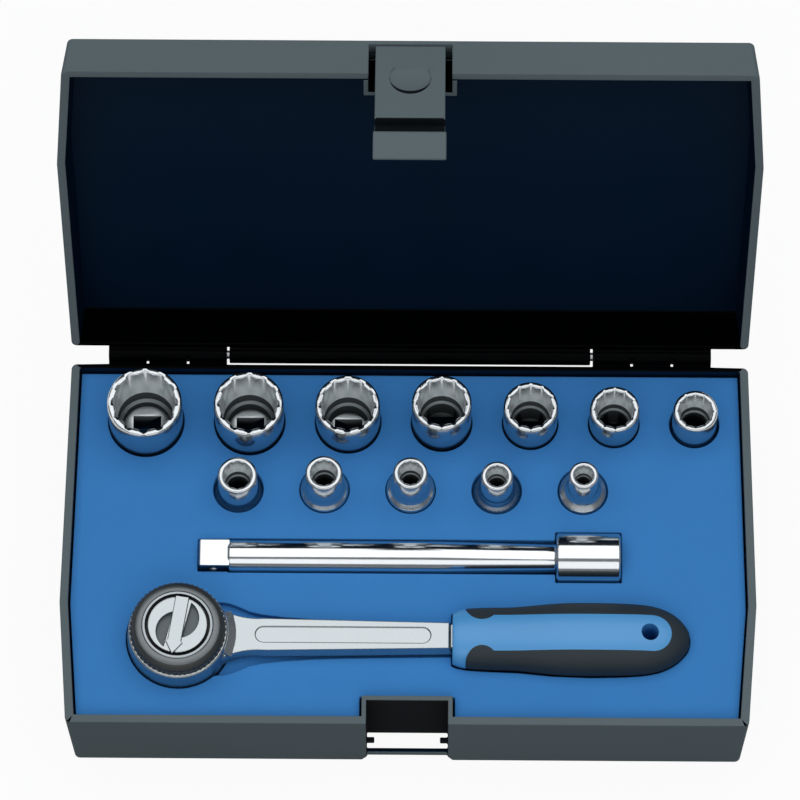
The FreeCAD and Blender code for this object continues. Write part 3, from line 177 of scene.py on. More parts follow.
# %% [markdown]
# ## Light
# The broad soft strips that the chrome mirrors come from large lamps. A picture of a studio could light
# the set, but two plain boxes are easier to steer. Places and sizes are in metres. One large box hangs
# above and behind the case, and a lower one stands in front. The darker gap between them, where the
# camera is, draws a thin dark line along every polished cylinder.

# %% World and lamps
SKY_COLOR = (0.93, 0.96, 1.0, 1)
SKY_STRENGTH = 0.24
SOFT_BOXES = {
    "sky_box": {"place": (0, 0.48, 1.45), "target": (0, 0.48, 0), "size": (2.6, 1.78), "power": 21.0},
    "front_box": {"place": (0, -1.12, 1.08), "target": (0, 0, 0.02), "size": (2.4, 0.88), "power": 7.8}}


def make_world():
    """Even pale light from all round."""
    world = bpy.data.worlds.new("studio")
    world.use_nodes = True
    background = world.node_tree.nodes["Background"]
    background.inputs["Color"].default_value = SKY_COLOR
    background.inputs["Strength"].default_value = SKY_STRENGTH
    scene.world = world


def make_lamp(name, place, target, size, power):
    """A soft box, as wide and as high as its size says, that faces its target."""
    lamp = bpy.data.lights.new(name, "AREA")
    lamp.shape = "RECTANGLE"
    lamp.size = size[0]
    lamp.size_y = size[1]
    lamp.energy = power
    holder = bpy.data.objects.new(name, lamp)
    holder.location = place
    aim = Vector(target) - Vector(place)
    holder.rotation_euler = aim.to_track_quat("-Z", "Y").to_euler()
    scene.collection.objects.link(holder)


make_world()
for box_name, box in SOFT_BOXES.items():
    make_lamp(box_name, **box)
print("lamps", [lamp.name for lamp in bpy.data.lights])

# %% [markdown]
# ## Shared effects
# Moulded plastic, foam and satin metal have a fine skin that breaks up the light. Each material could
# draw its own, but then one change has to be made many times. So the skin is a node group with named
# inputs, built once and used by each finish with its own values. Its noise gives a mask and, as a
# height, the normal.


# %% Fine grain
def new_group(name, inputs, outputs):
    """A shader group with named sockets."""
    group = bpy.data.node_groups.new(name, "ShaderNodeTree")
    for label, kind, value in inputs:
        socket = group.interface.new_socket(name=label, in_out="INPUT", socket_type=kind)
        socket.default_value = value
    for label, kind in outputs:
        group.interface.new_socket(name=label, in_out="OUTPUT", socket_type=kind)
    return group, group.nodes.new("NodeGroupInput"), group.nodes.new("NodeGroupOutput")


def give_skin(group, given, result, noise):
    """Send a noise out of the group, as a mask and as the normal of a bumpy skin."""
    bump = add_node(group, "ShaderNodeBump")
    join(group, given.outputs["Strength"], bump.inputs["Strength"])
    join(group, given.outputs["Depth"], bump.inputs["Distance"])
    join(group, noise.outputs["Fac"], bump.inputs["Height"])
    join(group, bump.outputs["Normal"], result.inputs["Normal"])
    join(group, noise.outputs["Fac"], result.inputs["Mask"])


def make_grain_group():
    """Fine skin: noise of one scale in every direction."""
    group, given, result = new_group(
        "fine_grain",
        [("Scale", "NodeSocketFloat", 900.0), ("Strength", "NodeSocketFloat", 0.2),
         ("Depth", "NodeSocketFloat", 0.0001)],
        [("Normal", "NodeSocketVector"), ("Mask", "NodeSocketFloat")])
    place = add_node(group, "ShaderNodeTexCoord")
    noise = add_node(group, "ShaderNodeTexNoise", Detail=4.0, Roughness=0.6)
    join(group, place.outputs["Object"], noise.inputs["Vector"])
    join(group, given.outputs["Scale"], noise.inputs["Scale"])
    give_skin(group, given, result, noise)
    return group


grain_group = make_grain_group()
print("group", grain_group.name, "nodes", len(grain_group.nodes))

# %% [markdown]
# ### Marks of turning
# A lathe leaves fine rings round a socket, and polishing leaves fine rings round the bar. Stripes could
# draw them, but they look too even. A noise that is squeezed along one axis gives lines of every width.


# %% Fine lines
def make_lines_group():
    """Marks of turning or polishing: noise with its own scale along each axis."""
    group, given, result = new_group(
        "fine_lines",
        [("Lines", "NodeSocketVector", (60.0, 60.0, 2600.0)), ("Strength", "NodeSocketFloat", 0.1),
         ("Depth", "NodeSocketFloat", 0.00005)],
        [("Normal", "NodeSocketVector"), ("Mask", "NodeSocketFloat")])
    place = add_node(group, "ShaderNodeTexCoord")
    drawn = add_node(group, "ShaderNodeVectorMath", operation="MULTIPLY")
    noise = add_node(group, "ShaderNodeTexNoise", Scale=1.0, Detail=3.0)
    join(group, place.outputs["Object"], drawn.inputs[0])
    join(group, given.outputs["Lines"], drawn.inputs[1])
    join(group, drawn.outputs["Vector"], noise.inputs["Vector"])
    give_skin(group, given, result, noise)
    return group


lines_group = make_lines_group()
print("group", lines_group.name, "nodes", len(lines_group.nodes))

# %% [markdown]
# ### Drift of tone
# No real surface has exactly one colour. A second colour could be mixed in, but a drift keeps the hue:
# a slow noise makes the one colour a little lighter here and a little darker there.


# %% Drift of tone
def make_drift_group():
    """Slow change of tone over a surface, by an amount either way."""
    group, given, result = new_group(
        "tone_drift",
        [("Color", "NodeSocketColor", (0.5, 0.5, 0.5, 1)), ("Scale", "NodeSocketFloat", 30.0),
         ("Amount", "NodeSocketFloat", 0.1)],
        [("Color", "NodeSocketColor"), ("Mask", "NodeSocketFloat")])
    place = add_node(group, "ShaderNodeTexCoord")
    noise = add_node(group, "ShaderNodeTexNoise", Detail=3.0)
    darkest = add_node(group, "ShaderNodeMath", operation="SUBTRACT")
    darkest.inputs[0].default_value = 1.0
    lightest = add_node(group, "ShaderNodeMath", operation="ADD")
    lightest.inputs[0].default_value = 1.0
    span = add_node(group, "ShaderNodeMapRange")
    tint = add_node(group, "ShaderNodeVectorMath", operation="SCALE")
    join(group, place.outputs["Object"], noise.inputs["Vector"])
    join(group, given.outputs["Scale"], noise.inputs["Scale"])
    join(group, given.outputs["Amount"], darkest.inputs[1])
    join(group, given.outputs["Amount"], lightest.inputs[1])
    join(group, noise.outputs["Fac"], span.inputs["Value"])
    join(group, darkest.outputs[0], span.inputs["To Min"])
    join(group, lightest.outputs[0], span.inputs["To Max"])
    join(group, given.outputs["Color"], tint.inputs[0])
    join(group, span.outputs["Result"], tint.inputs["Scale"])
    join(group, tint.outputs["Vector"], result.inputs["Color"])
    join(group, noise.outputs["Fac"], result.inputs["Mask"])
    return group


drift_group = make_drift_group()
print("group", drift_group.name, "nodes", len(drift_group.nodes))

# %% [markdown]
# ## Finishes
# Every finish of the set is made in one way, from a colour that drifts, a skin and a range of roughness
# that follows the skin. Each could have a tree of its own, but one function keeps them alike, and the
# lines below it then read like a maker's list. A drift is a scale and an amount, and depths are in
# metres.


# %% One way to make a finish
def use_group(tree, group, **values):
    """Place a group in a tree, with its own values."""
    node = tree.nodes.new("ShaderNodeGroup")
    node.node_tree = group
    for name, value in values.items():
        node.inputs[name].default_value = value
    return node


def grainy(scale, strength, depth):
    """A skin of fine grain."""
    return lambda tree: use_group(tree, grain_group, Scale=scale, Strength=strength, Depth=depth)


def lined(lines, strength, depth):
    """A skin of fine lines."""
    return lambda tree: use_group(tree, lines_group, Lines=lines, Strength=strength, Depth=depth)


def make_finish(name, color, drift, skin, roughness, metallic=0.0, specular=0.5, tint=(1, 1, 1)):
    """A material with a drifting colour over its skin. What doesn't vary sits on the shader itself."""
    material, tree, shader = new_material(name)
    shader.inputs["Metallic"].default_value = metallic
    shader.inputs["Specular IOR Level"].default_value = specular
    shader.inputs["Specular Tint"].default_value = tint + (1,)
    tone = use_group(tree, drift_group, Color=color + (1,), Scale=drift[0], Amount=drift[1])
    surface = skin(tree)
    spread = add_node(tree, "ShaderNodeMapRange")
    spread.inputs["To Min"].default_value = roughness[0]
    spread.inputs["To Max"].default_value = roughness[1]
    join(tree, tone.outputs["Color"], shader.inputs["Base Color"])
    join(tree, surface.outputs["Normal"], shader.inputs["Normal"])
    join(tree, surface.outputs["Mask"], spread.inputs["Value"])
    join(tree, spread.outputs["Result"], shader.inputs["Roughness"])
    return material


print("groups", [group.name for group in bpy.data.node_groups])

# %% [markdown]
# ### Case and foam
# The case is moulded in one dark plastic. Its outside has a fine skin that scatters the light to grey,
# and its inside is polished and almost black, with a navy tint that is a painted reflection of the
# blue foam. The foam is a closed-cell sheet, rough all over. Lamps alone leave the deep places too
# light, so the recess, the hinge, the latch's groove and the floors of the pockets get painted shade.

# %% Finishes of the case and the foam
POLISHED = grainy(1500, 0.03, 0.00003)
CELLS = grainy(2600, 0.5, 0.00012)

case_plastic = make_finish("case_plastic", (0.107, 0.137, 0.15), drift=(14, 0.12),
                           skin=grainy(2400, 0.14, 0.00006), roughness=(0.5, 0.64), specular=0.006)
# The navy tint of the inside is a painted reflection of the blue foam.
case_inside_painted_reflection = make_finish("case_inside_painted_reflection", (0.002, 0.0085, 0.022), drift=(20, 0.15), skin=POLISHED,
                          roughness=(0.26, 0.34), specular=0.05, tint=(0.2, 0.6, 1.0))
# Near-black painted shade, for the hinge side and the box round the latch.
case_deep_painted_shade = make_finish("case_deep_painted_shade", (0.0003, 0.0005, 0.0008), drift=(20, 0.2), skin=POLISHED,
                        roughness=(0.3, 0.4), specular=0.02)
# Painted shade, for the recess, the latch's groove, the latch pin and the thumb rest's outer slope.
case_shade = make_finish("case_shade", (0.006, 0.008, 0.01), drift=(30, 0.2),
                         skin=grainy(1800, 0.1, 0.00005), roughness=(0.7, 0.8), specular=0.02)
foam = make_finish("foam", (0.041, 0.203, 0.52), drift=(60, 0.06), skin=CELLS,
                   roughness=(0.85, 0.98), specular=0.15)
# Painted shade, for the floors of the pockets, where little light gets in.
foam_shade = make_finish("foam_shade", (0.014, 0.06, 0.15), drift=(60, 0.1), skin=CELLS,
                         roughness=(0.85, 0.98), specular=0.05)
print("materials so far", len(bpy.data.materials))

# %% [markdown]
# ### Metal
# The tools are chrome plated. The bar is bright, the sockets keep the marks of the lathe, and the shank
# and the dial are satin. One chrome for all would be simpler, but the eye tells them apart by how
# sharply they mirror, so each has its own roughness. The bores are duller and a little darker, as a
# painted shade, and below their points they get a dark painted shade, where little light gets in. The
# scoops of the dial get a painted shade, and the shoulder of the thumb ring by the bezel gets a grey
# metal finish that is a painted sheen.

# %% Finishes of the metal
METAL = 1.0
SATIN = grainy(3000, 0.1, 0.00003)
DULL = grainy(2600, 0.1, 0.00004)

bright_chrome = make_finish("bright_chrome", (0.62, 0.65, 0.67), drift=(40, 0.04),
                            skin=lined((2600, 50, 50), 0.04, 0.00003), roughness=(0.08, 0.17),
                            metallic=METAL)
turned_chrome = make_finish("turned_chrome", (0.52, 0.55, 0.57), drift=(60, 0.05),
                            skin=lined((50, 50, 2600), 0.06, 0.00003), roughness=(0.14, 0.26),
                            metallic=METAL)
satin_chrome = make_finish("satin_chrome", (0.41, 0.445, 0.46), drift=(50, 0.05), skin=SATIN,
                           roughness=(0.22, 0.36), metallic=METAL)
dial_metal = make_finish("dial_metal", (0.3, 0.33, 0.35), drift=(50, 0.06), skin=SATIN,
                         roughness=(0.22, 0.34), metallic=METAL)
plain_steel = make_finish("plain_steel", (0.45, 0.46, 0.47), drift=(50, 0.06), skin=SATIN,
                          roughness=(0.3, 0.45), metallic=METAL)
# The bore is rougher than the outside, and a little darker as a light painted shade.
socket_bore = make_finish("socket_bore", (0.47, 0.5, 0.51), drift=(60, 0.1),
                          skin=lined((60, 60, 1200), 0.1, 0.00004), roughness=(0.24, 0.36), metallic=METAL)
# Dark painted shade, for the bores below their points.
bore_painted_shade = make_finish("bore_painted_shade", (0.07, 0.078, 0.082), drift=(60, 0.1), skin=DULL,
                           roughness=(0.4, 0.55), metallic=METAL)
# Painted shade, for the floors of the dial's scoops.
scoop_painted_shade = make_finish("scoop_painted_shade", (0.1, 0.115, 0.12), drift=(60, 0.1),
                         skin=grainy(2600, 0.15, 0.00004), roughness=(0.4, 0.55), metallic=METAL)
# Painted sheen: grey metal for the shoulder of the thumb ring next to the bezel.
ring_painted_sheen = make_finish("ring_painted_sheen", (0.15, 0.165, 0.172), drift=(60, 0.08), skin=DULL,
                         roughness=(0.34, 0.46), metallic=METAL)
print("materials so far", len(bpy.data.materials))

# %% [markdown]
# ### Grip and thumb ring
# The grip has a hard blue core and soft black sides, and the ring that the thumb turns is black too. A
# plain colour would do from afar. Close by, rubber differs from hard plastic in its coarser grain and
# duller shine.

# %% Finishes of the grip and the thumb ring
blue_plastic = make_finish("blue_plastic", (0.07, 0.3, 0.63), drift=(40, 0.05),
                           skin=grainy(1800, 0.06, 0.00004), roughness=(0.3, 0.42))
black_rubber = make_finish("black_rubber", (0.014, 0.024, 0.032), drift=(50, 0.15),
                           skin=grainy(2200, 0.25, 0.00008), roughness=(0.5, 0.66), specular=0.4)
# The black of the thumb ring, also painted as shade in the bore of the bezel round the dial.
black_ring_and_painted_shade = make_finish("black_ring_and_painted_shade", (0.02, 0.024, 0.025), drift=(60, 0.12),
                         skin=grainy(2600, 0.15, 0.00005), roughness=(0.38, 0.5))
print("materials so far", len(bpy.data.materials))

# %% [markdown]
# ### A finish for every node
# The record of the set gives each node a material slot. A finish could be chosen for each node by
# hand, but the slots already say which pieces share one. Only the sockets and two small pieces differ
# from their slots. One of them, the latch pin, sits in the shaded slits beside the latch and gets a
# painted shade.

# %% A finish for every node
FINISH_OF_SLOT = {
    "case_plastic": case_plastic, "foam": foam, "bright_chrome": bright_chrome,
    "satin_chrome": satin_chrome, "plain_steel": plain_steel, "blue_plastic": blue_plastic,
    "black_rubber": black_rubber, "black_plastic": black_ring_and_painted_shade}
# The latch pin, in the shaded slits beside the latch, gets a painted shade.
FINISH_OF_NODE = {"drive_spindle": dial_metal, "latch_pin": case_shade}
SOCKET_START = "socket_"
slot_of = {part["node"]: part["material_slot"] for part in frame["record"]["subparts"]}


def finish_of(name):
    """The finish of a node. The sockets show the marks of the lathe."""
    if name.startswith(SOCKET_START):
        return turned_chrome
    return FINISH_OF_NODE.get(name) or FINISH_OF_SLOT[slot_of[name]]


for name, node in nodes.items():
    node.data.materials.clear()
    node.data.materials.append(finish_of(name))
print("finished nodes", len(nodes))

# %% [markdown]
# ## Joined copies
# A mould or a forging die never leaves a knife edge, and the thin bright line along a rounded edge is
# what makes an object look real. Every edge could be rounded in the CAD, but its solids would grow slow
# and fragile. So a copy of the mesh is rounded here. A node's mesh is loose triangles. In the copy they
# are joined, and the edges that are sharper than a set angle are marked. Boxes, in millimetres, spare
# what stays sharp.

# %% Joined copies
SHARP = math.radians(30)
MERGE = 2e-6
FLAT = math.radians(0.6)


def lies_in(point, boxes):
    """Whether a point in millimetres lies in one of the boxes."""
    return any(all(low[k] < point[k] < high[k] for k in range(3)) for low, high in boxes)


def mark_edges(cut, spared):
    """Mark the sharp edges that get rounded: all but those in the spared boxes."""
    weight = cut.edges.layers.float.new("bevel_weight_edge")
    for edge in cut.edges:
        middle = (edge.verts[0].co + edge.verts[1].co) / 2
        is_sharp = len(edge.link_faces) == 2 and edge.calc_face_angle() > SHARP
        if is_sharp and not lies_in(middle / MM, spared):
            edge[weight] = 1.0


def joined_copy(name, whole_faces, change=None, spared=()):
    """The node's mesh with its loose triangles joined, and made into whole flat faces if that is wished."""
    cut = bmesh.new()
    cut.from_mesh(nodes[name].data)
    bmesh.ops.remove_doubles(cut, verts=cut.verts, dist=MERGE)
    if whole_faces:
        bmesh.ops.dissolve_limit(cut, angle_limit=FLAT, verts=cut.verts, edges=cut.edges)
    if change:
        change(cut)
    mark_edges(cut, spared)
    mesh = bpy.data.meshes.new(name + "_soft")
    cut.to_mesh(mesh)
    cut.free()
    return mesh


print("loose triangles", sum(len(node.data.polygons) for node in nodes.values()))

# %% [markdown]
# ## Pieces in place of nodes
# A copy takes the place of its node and moves with the same body, so the lid still swings and the tools
# still lift out. A copy could keep its modifiers live, but a plain mesh is what is handed over, so they
# are applied.

# %% Pieces in place of nodes
body_of = {}
for body, members in frame["record"]["behaviour"]["bodies"].items():
    for member in members:
        body_of[member] = body


def new_piece(name, mesh):
    """A piece with the node's finish, shaded as round."""
    mesh.materials.append(finish_of(name))
    mesh.polygons.foreach_set("use_smooth", [True] * len(mesh.polygons))
    piece = bpy.data.objects.new(name + "_soft", mesh)
    scene.collection.objects.link(piece)
    return piece


def as_plain(piece):
    """Apply the piece's modifiers, so that it is a plain mesh."""
    graph = bpy.context.evaluated_depsgraph_get()
    mesh = bpy.data.meshes.new_from_object(piece.evaluated_get(graph))
    piece.modifiers.clear()
    piece.data = mesh


def stand_for(piece, name):
    """Let the piece stand for the node and move with its body."""
    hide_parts(name)
    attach(piece, body_of[name])
    return piece


print("nodes with a body", len(body_of))

# %% [markdown]
# ## The case
# Both halves and the latch are moulded with small round edges. A Subdivision Surface would round them,
# and their flat walls too. So a Bevel modifier rounds the marked edges alone, and Weighted Normal keeps
# the walls looking flat. At the foot of the recess the edges lie too close together for that, so they
# are spared.

# %% Case
CASE_EDGE = 0.25
LATCH_EDGE = 0.3
RECESS_FEET = [((-14, -44.5, -1), (-7.5, -39, 3.2)), ((7.5, -44.5, -1), (14, -39, 3.2))]


def soften(name, width, segments=2, whole_faces=True, change=None, spared=()):
    """A copy of the node with its sharp edges rounded by a width in millimetres."""
    piece = new_piece(name, joined_copy(name, whole_faces, change, spared))
    rounding = piece.modifiers.new("rounding", "BEVEL")
    rounding.limit_method = "WEIGHT"
    rounding.width = width * MM
    rounding.segments = segments
    rounding.use_clamp_overlap = False
    shading = piece.modifiers.new("shading", "WEIGHTED_NORMAL")
    shading.mode = "FACE_AREA"
    as_plain(piece)
    return stand_for(piece, name)


base = soften("base_shell", CASE_EDGE, whole_faces=False, spared=RECESS_FEET)
lid = soften("lid_shell", CASE_EDGE, whole_faces=False)
latch = soften("latch", LATCH_EDGE)
print("case faces", [len(piece.data.polygons) for piece in (base, lid, latch)])

# %% [markdown]
# ### Inside and outside of the case
# Each half is one moulding, grey outside and almost black inside. It could be split into pieces, one
# for each finish, but it is one piece, so some of its faces get another finish instead: the inside gets
# a navy tint that is a painted reflection of the blue foam, and the recess, the hinge side, the box
# round the latch and the latch's groove get painted shade. They are found by boxes. The boxes, in
# millimetres, are those of the shut case, where both halves lie square to the axes, and the faces of the
# lid are turned shut, about the hinge that the record gives, before they are tested. Above the latch the
# wall keeps its own colour.

# %% Inside and outside of the case
BASE_POLISHED = [((-76.8, -42.3, 1.2), (76.8, 42.9, 28.6))]
LID_POLISHED = [((-76.8, -42.3, 29.1), (76.8, 42.9, 39.8))]
RECESS = [((-9.4, -43.7, 6.3), (9.4, -35.2, 28.6)), ((-9.4, -42, 0.3), (9.4, -35.2, 6.4))]
HINGE_SIDE = [((-76.8, 40.9, 29.1), (76.8, 43.4, 39.8)), ((-75, 42.6, 25), (75, 52, 33.5))]
LATCH_BOX = [((-9.3, -43.7, 29.1), (9.3, -35.0, 39.2))]
LATCH_CEILING = [((-9.3, -43.7, 39.2), (9.3, -35.0, 40.6))]
GROOVE = [((-8.3, -43.6, 11.7), (8.3, -41.0, 15.1))]


def faces_in(piece, shut, boxes):
    """The faces that lie in the boxes when the case is shut."""
    return [face for face in piece.data.polygons if lies_in((shut @ face.center) / MM, boxes)]


def paint(piece, finish, faces):
    """Give another finish to the faces."""
    if finish.name not in piece.data.materials:
        piece.data.materials.append(finish)
    number = piece.data.materials.find(finish.name)
    for face in faces:
        face.material_index = number
    print(piece.name, finish.name, "faces", len(faces))


joints = {joint["name"]: joint for joint in frame["record"]["behaviour"]["joints"]}
hinge = Vector(joints["lid_hinge"]["pos_m"])
turn_shut = Matrix.Rotation(-math.radians(joints["lid_hinge"]["range_deg"][0]), 4, "X")
lid_shut = Matrix.Translation(hinge) @ turn_shut @ Matrix.Translation(-hinge)
base_shut = Matrix.Identity(4)
# The inside faces get the polished finish with its painted reflection.
paint(base, case_inside_painted_reflection, faces_in(base, base_shut, BASE_POLISHED))
# The recess gets a painted shade.
paint(base, case_shade, faces_in(base, base_shut, RECESS))
# The hinge side of the base gets a near-black painted shade.
paint(base, case_deep_painted_shade, faces_in(base, base_shut, HINGE_SIDE))
paint(lid, case_inside_painted_reflection, faces_in(lid, lid_shut, LID_POLISHED))
# The hinge side of the lid and the box round the latch get a near-black painted shade.
paint(lid, case_deep_painted_shade, faces_in(lid, lid_shut, HINGE_SIDE + LATCH_BOX))
paint(lid, case_plastic, faces_in(lid, lid_shut, LATCH_CEILING))
# The groove across the latch gets a painted shade.
paint(latch, case_shade, faces_in(latch, lid_shut, GROOVE))

# %% [markdown]
# ### The thumb rest
# A low ridge runs round the lower edge of the latch's dish, for the thumb that lifts it. It is highest
# in the middle and fades out at both ends. A bevelled curve could draw it, with a taper of its own.
# Three corners, carried along an arc and scaled by half a sine wave, need less, and the outer slope
# gets a painted shade. Lengths are in millimetres and the arc is in degrees.

# %% Thumb rest
REST_MIDDLE = Vector((0, -43.35, 28.2))
REST_RADIUS = 4.62
REST_HEIGHT = 0.4
REST_WIDTH = 0.75
REST_CREST = 0.18
REST_SINK = 0.02
REST_LEAST = 0.01
REST_START = 198
REST_SWEEP = 144
REST_STEPS = 28
REST_CORNERS = 3
REST_ENDS = 2
OUTER_SLOPE = 1


def rest_ring(share):
    """Inner foot, crest and outer foot of the ridge, at a share of its arc."""
    bearing = math.radians(REST_START + REST_SWEEP * share)
    size = math.sin(math.pi * share)
    section = ((0.0, -REST_SINK), (REST_CREST * size, REST_HEIGHT * size),
               (REST_WIDTH * size + REST_LEAST, -REST_SINK))
    ring = []
    for out, rise in section:
        radius = REST_RADIUS + out
        ring.append(REST_MIDDLE + Vector((radius * math.cos(bearing), -rise, radius * math.sin(bearing))))
    return ring


def rest_faces():
    """The two ends, and then the inner slope, the outer slope and the underside of each step."""
    last = REST_CORNERS * REST_STEPS
    faces = [(0, 1, 2), (last + 2, last + 1, last)]
    for step in range(REST_STEPS):
        here = REST_CORNERS * step
        there = here + REST_CORNERS
        for k in range(REST_CORNERS):
            after = (k + 1) % REST_CORNERS
            faces.append((here + k, there + k, there + after, here + after))
    return faces


to_open = lid_shut.inverted()
rest_rings = [rest_ring(step / REST_STEPS) for step in range(REST_STEPS + 1)]
rest_corners = [to_open @ (corner * MM) for ring in rest_rings for corner in ring]
rest_mesh = bpy.data.meshes.new("thumb_rest")
rest_mesh.from_pydata(rest_corners, [], rest_faces())
rest_mesh.materials.append(case_plastic)
thumb_rest = bpy.data.objects.new("thumb_rest", rest_mesh)
scene.collection.objects.link(thumb_rest)
# The outer slope of the ridge gets a painted shade.
paint(thumb_rest, case_shade, list(rest_mesh.polygons)[REST_ENDS + OUTER_SLOPE::REST_CORNERS])
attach(thumb_rest, body_of["latch"])

# %% [markdown]
# ## The foam
# The insert is a sheet of closed-cell foam with its pockets stamped out. Foam gives under the stamp, so
# its edges are round and the bends of the ratchet's pocket run on as one curve. The whole sheet could
# be smoothed, but then the round holes of the sockets shrink. So only the upright corners of that
# pocket are rounded, and after them all the edges, like those of the case.

# %% Foam
FOAM_EDGE = 0.25
FOAM_SEGMENTS = 3
FOAM_LEVEL = 0.7
POCKET_DEPTH = 2.0
RATCHET_POCKET = [((-66, -38, 5), (78, -8, 27))]
LEAST_BEND = math.radians(4)
MOST_BEND = math.radians(55)
BEND_PERCENT = 45
BEND_SEGMENTS = 4
ROUND = 0.5


def is_bend(edge):
    """Whether an edge is an upright corner of the ratchet's pocket, with a slight turn."""
    first, last = (corner.co for corner in edge.verts)
    is_upright = (first - last).xy.length < MERGE
    if not is_upright or len(edge.link_faces) != 2:
        return False
    if not lies_in((first + last) / 2 / MM, RATCHET_POCKET):
        return False
    return LEAST_BEND < edge.calc_face_angle() < MOST_BEND


def round_bends(cut):
    """Round the upright corners of the ratchet's pocket, by a share of the walls between them."""
    bends = [edge for edge in cut.edges if is_bend(edge)]
    bmesh.ops.bevel(cut, geom=bends, offset=BEND_PERCENT, offset_type="PERCENT", segments=BEND_SEGMENTS,
                    profile=ROUND, affect="EDGES", clamp_overlap=True)
    print("bends rounded", len(bends))


foam_piece = soften("foam_insert", FOAM_EDGE, FOAM_SEGMENTS, change=round_bends)
foam_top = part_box("foam_insert")[1][2]
pocket_top = foam_top - POCKET_DEPTH * MM
# The floors of the pockets below the top get a painted shade.
paint(foam_piece, foam_shade, [face for face in foam_piece.data.polygons
                               if face.normal.z > FOAM_LEVEL and face.center.z < pocket_top])

# %% [markdown]
# ## The sockets
# A socket is turned from bar, its twelve points are pressed into it, and it is chrome plated. A bevel
# could round it, but the points of the small mouths lie too close together. So the sockets keep their
# edges, and only their round faces are shaded as round. Faces that look at the axis are the bore, and
# so are level ones below the rim. The bore is rougher than the outside and a little darker, a light
# painted shade. Below the points all but its level faces get a dark painted shade.

# %% Sockets
RIM_DEPTH = 0.6
BORE_SHARE = 0.45
FACES_UP = 0.5
POINTS_START = 1.6
POINTS_SLOPE = 0.7


def smooth(name):
    """A copy with its edges as they are and its round faces shaded as round."""
    piece = new_piece(name, joined_copy(name, False))
    piece.data.set_sharp_from_angle(angle=SHARP)
    return stand_for(piece, name)


def corners_of(name):
    """The low and the high corner of a node's box."""
    return [Vector(corner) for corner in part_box(name)]


def bore_faces(piece, low, high):
    """The inside of a socket: faces that look at its axis, and level ones below its rim."""
    axis = (low + high) / 2
    found = []
    for face in piece.data.polygons:
        out = (face.center - axis).xy
        if face.normal.z > FACES_UP:
            is_low = face.center.z < high.z - RIM_DEPTH * MM
            is_inside = is_low and out.length < (high.x - low.x) * BORE_SHARE
        else:
            is_inside = face.normal.xy.dot(out) < 0
        if is_inside:
            found.append(face)
    return found


for name in nodes:
    if name.startswith(SOCKET_START):
        socket = smooth(name)
        socket_low, socket_high = corners_of(name)
        bore = bore_faces(socket, socket_low, socket_high)
        # The bore gets a rougher finish, a little darker as painted shade.
        paint(socket, socket_bore, bore)
        flats = float(name[len(SOCKET_START):-len("mm")].replace("_", "."))
        points_end = socket_high.z - (POINTS_START + POINTS_SLOPE * flats) * MM
        # Below the points all but the level faces of the bore get a dark painted shade.
        paint(socket, bore_painted_shade, [face for face in bore
                                     if face.center.z < points_end and face.normal.z < FACES_UP])

# %% [markdown]
# ## The bar, the ratchet and the grip
# The bar is turned, the ratchet is forged, and the plating rounds their edges a little, so they are
# softened like the case, each by a width that suits it. The teeth inside the head are spared, because
# their bevels would meet. On the grip the border between core and sides bends in very short steps, and
# a bevel leaves marks there, so both keep their edges like the sockets. The scoops of the dial and the
# bore in the bezel get a painted shade.

# %% Bar, ratchet and grip
BAR_EDGE = 0.16
RATCHET_EDGE = 0.2
SPINDLE_EDGE = 0.1
DIAL_EDGE = 0.15
SCOOP_DEPTH = 0.9
DIAL_BORE = 7.45
TEETH = [((-63.0, -33.4, 22.5), (-41.4, -11.8, 30.2))]


def reach_of(piece, face, axis):
    """The greatest distance of a face from an upright axis."""
    return max((piece.data.vertices[corner].co - axis).xy.length for corner in face.vertices)


soften("extension_bar", BAR_EDGE)
soften("ratchet_body", RATCHET_EDGE, spared=TEETH)
spindle = soften("drive_spindle", SPINDLE_EDGE)
dial = soften("reversing_dial", DIAL_EDGE)
dial_low, dial_high = corners_of("reversing_dial")
dial_axis = (dial_low + dial_high) / 2
scoop_top = dial_high.z - SCOOP_DEPTH * MM
# The floors of the dial's scoops get a painted shade.
paint(dial, scoop_painted_shade, [face for face in dial.data.polygons
                         if face.normal.z > FACES_UP and face.center.z < scoop_top])
# The bore in the bezel round the dial gets a black painted shade.
paint(spindle, black_ring_and_painted_shade, [face for face in spindle.data.polygons
                            if reach_of(spindle, face, dial_axis) < DIAL_BORE * MM])
smooth("grip_core")
smooth("grip_sides")

# %% [markdown]
# ## The thumb ring
# The black ring round the dial spins the drive by hand, so its rim is ribbed. The ribs could be
# modelled one by one, but they repeat round a circle, and Geometry Nodes make them: one rib, placed on
# the points of a circle and joined to the plain band. The number and the sizes of the ribs are inputs
# of the tree.

# %% A tree for ribs round a band
RIB_SIDES = 8


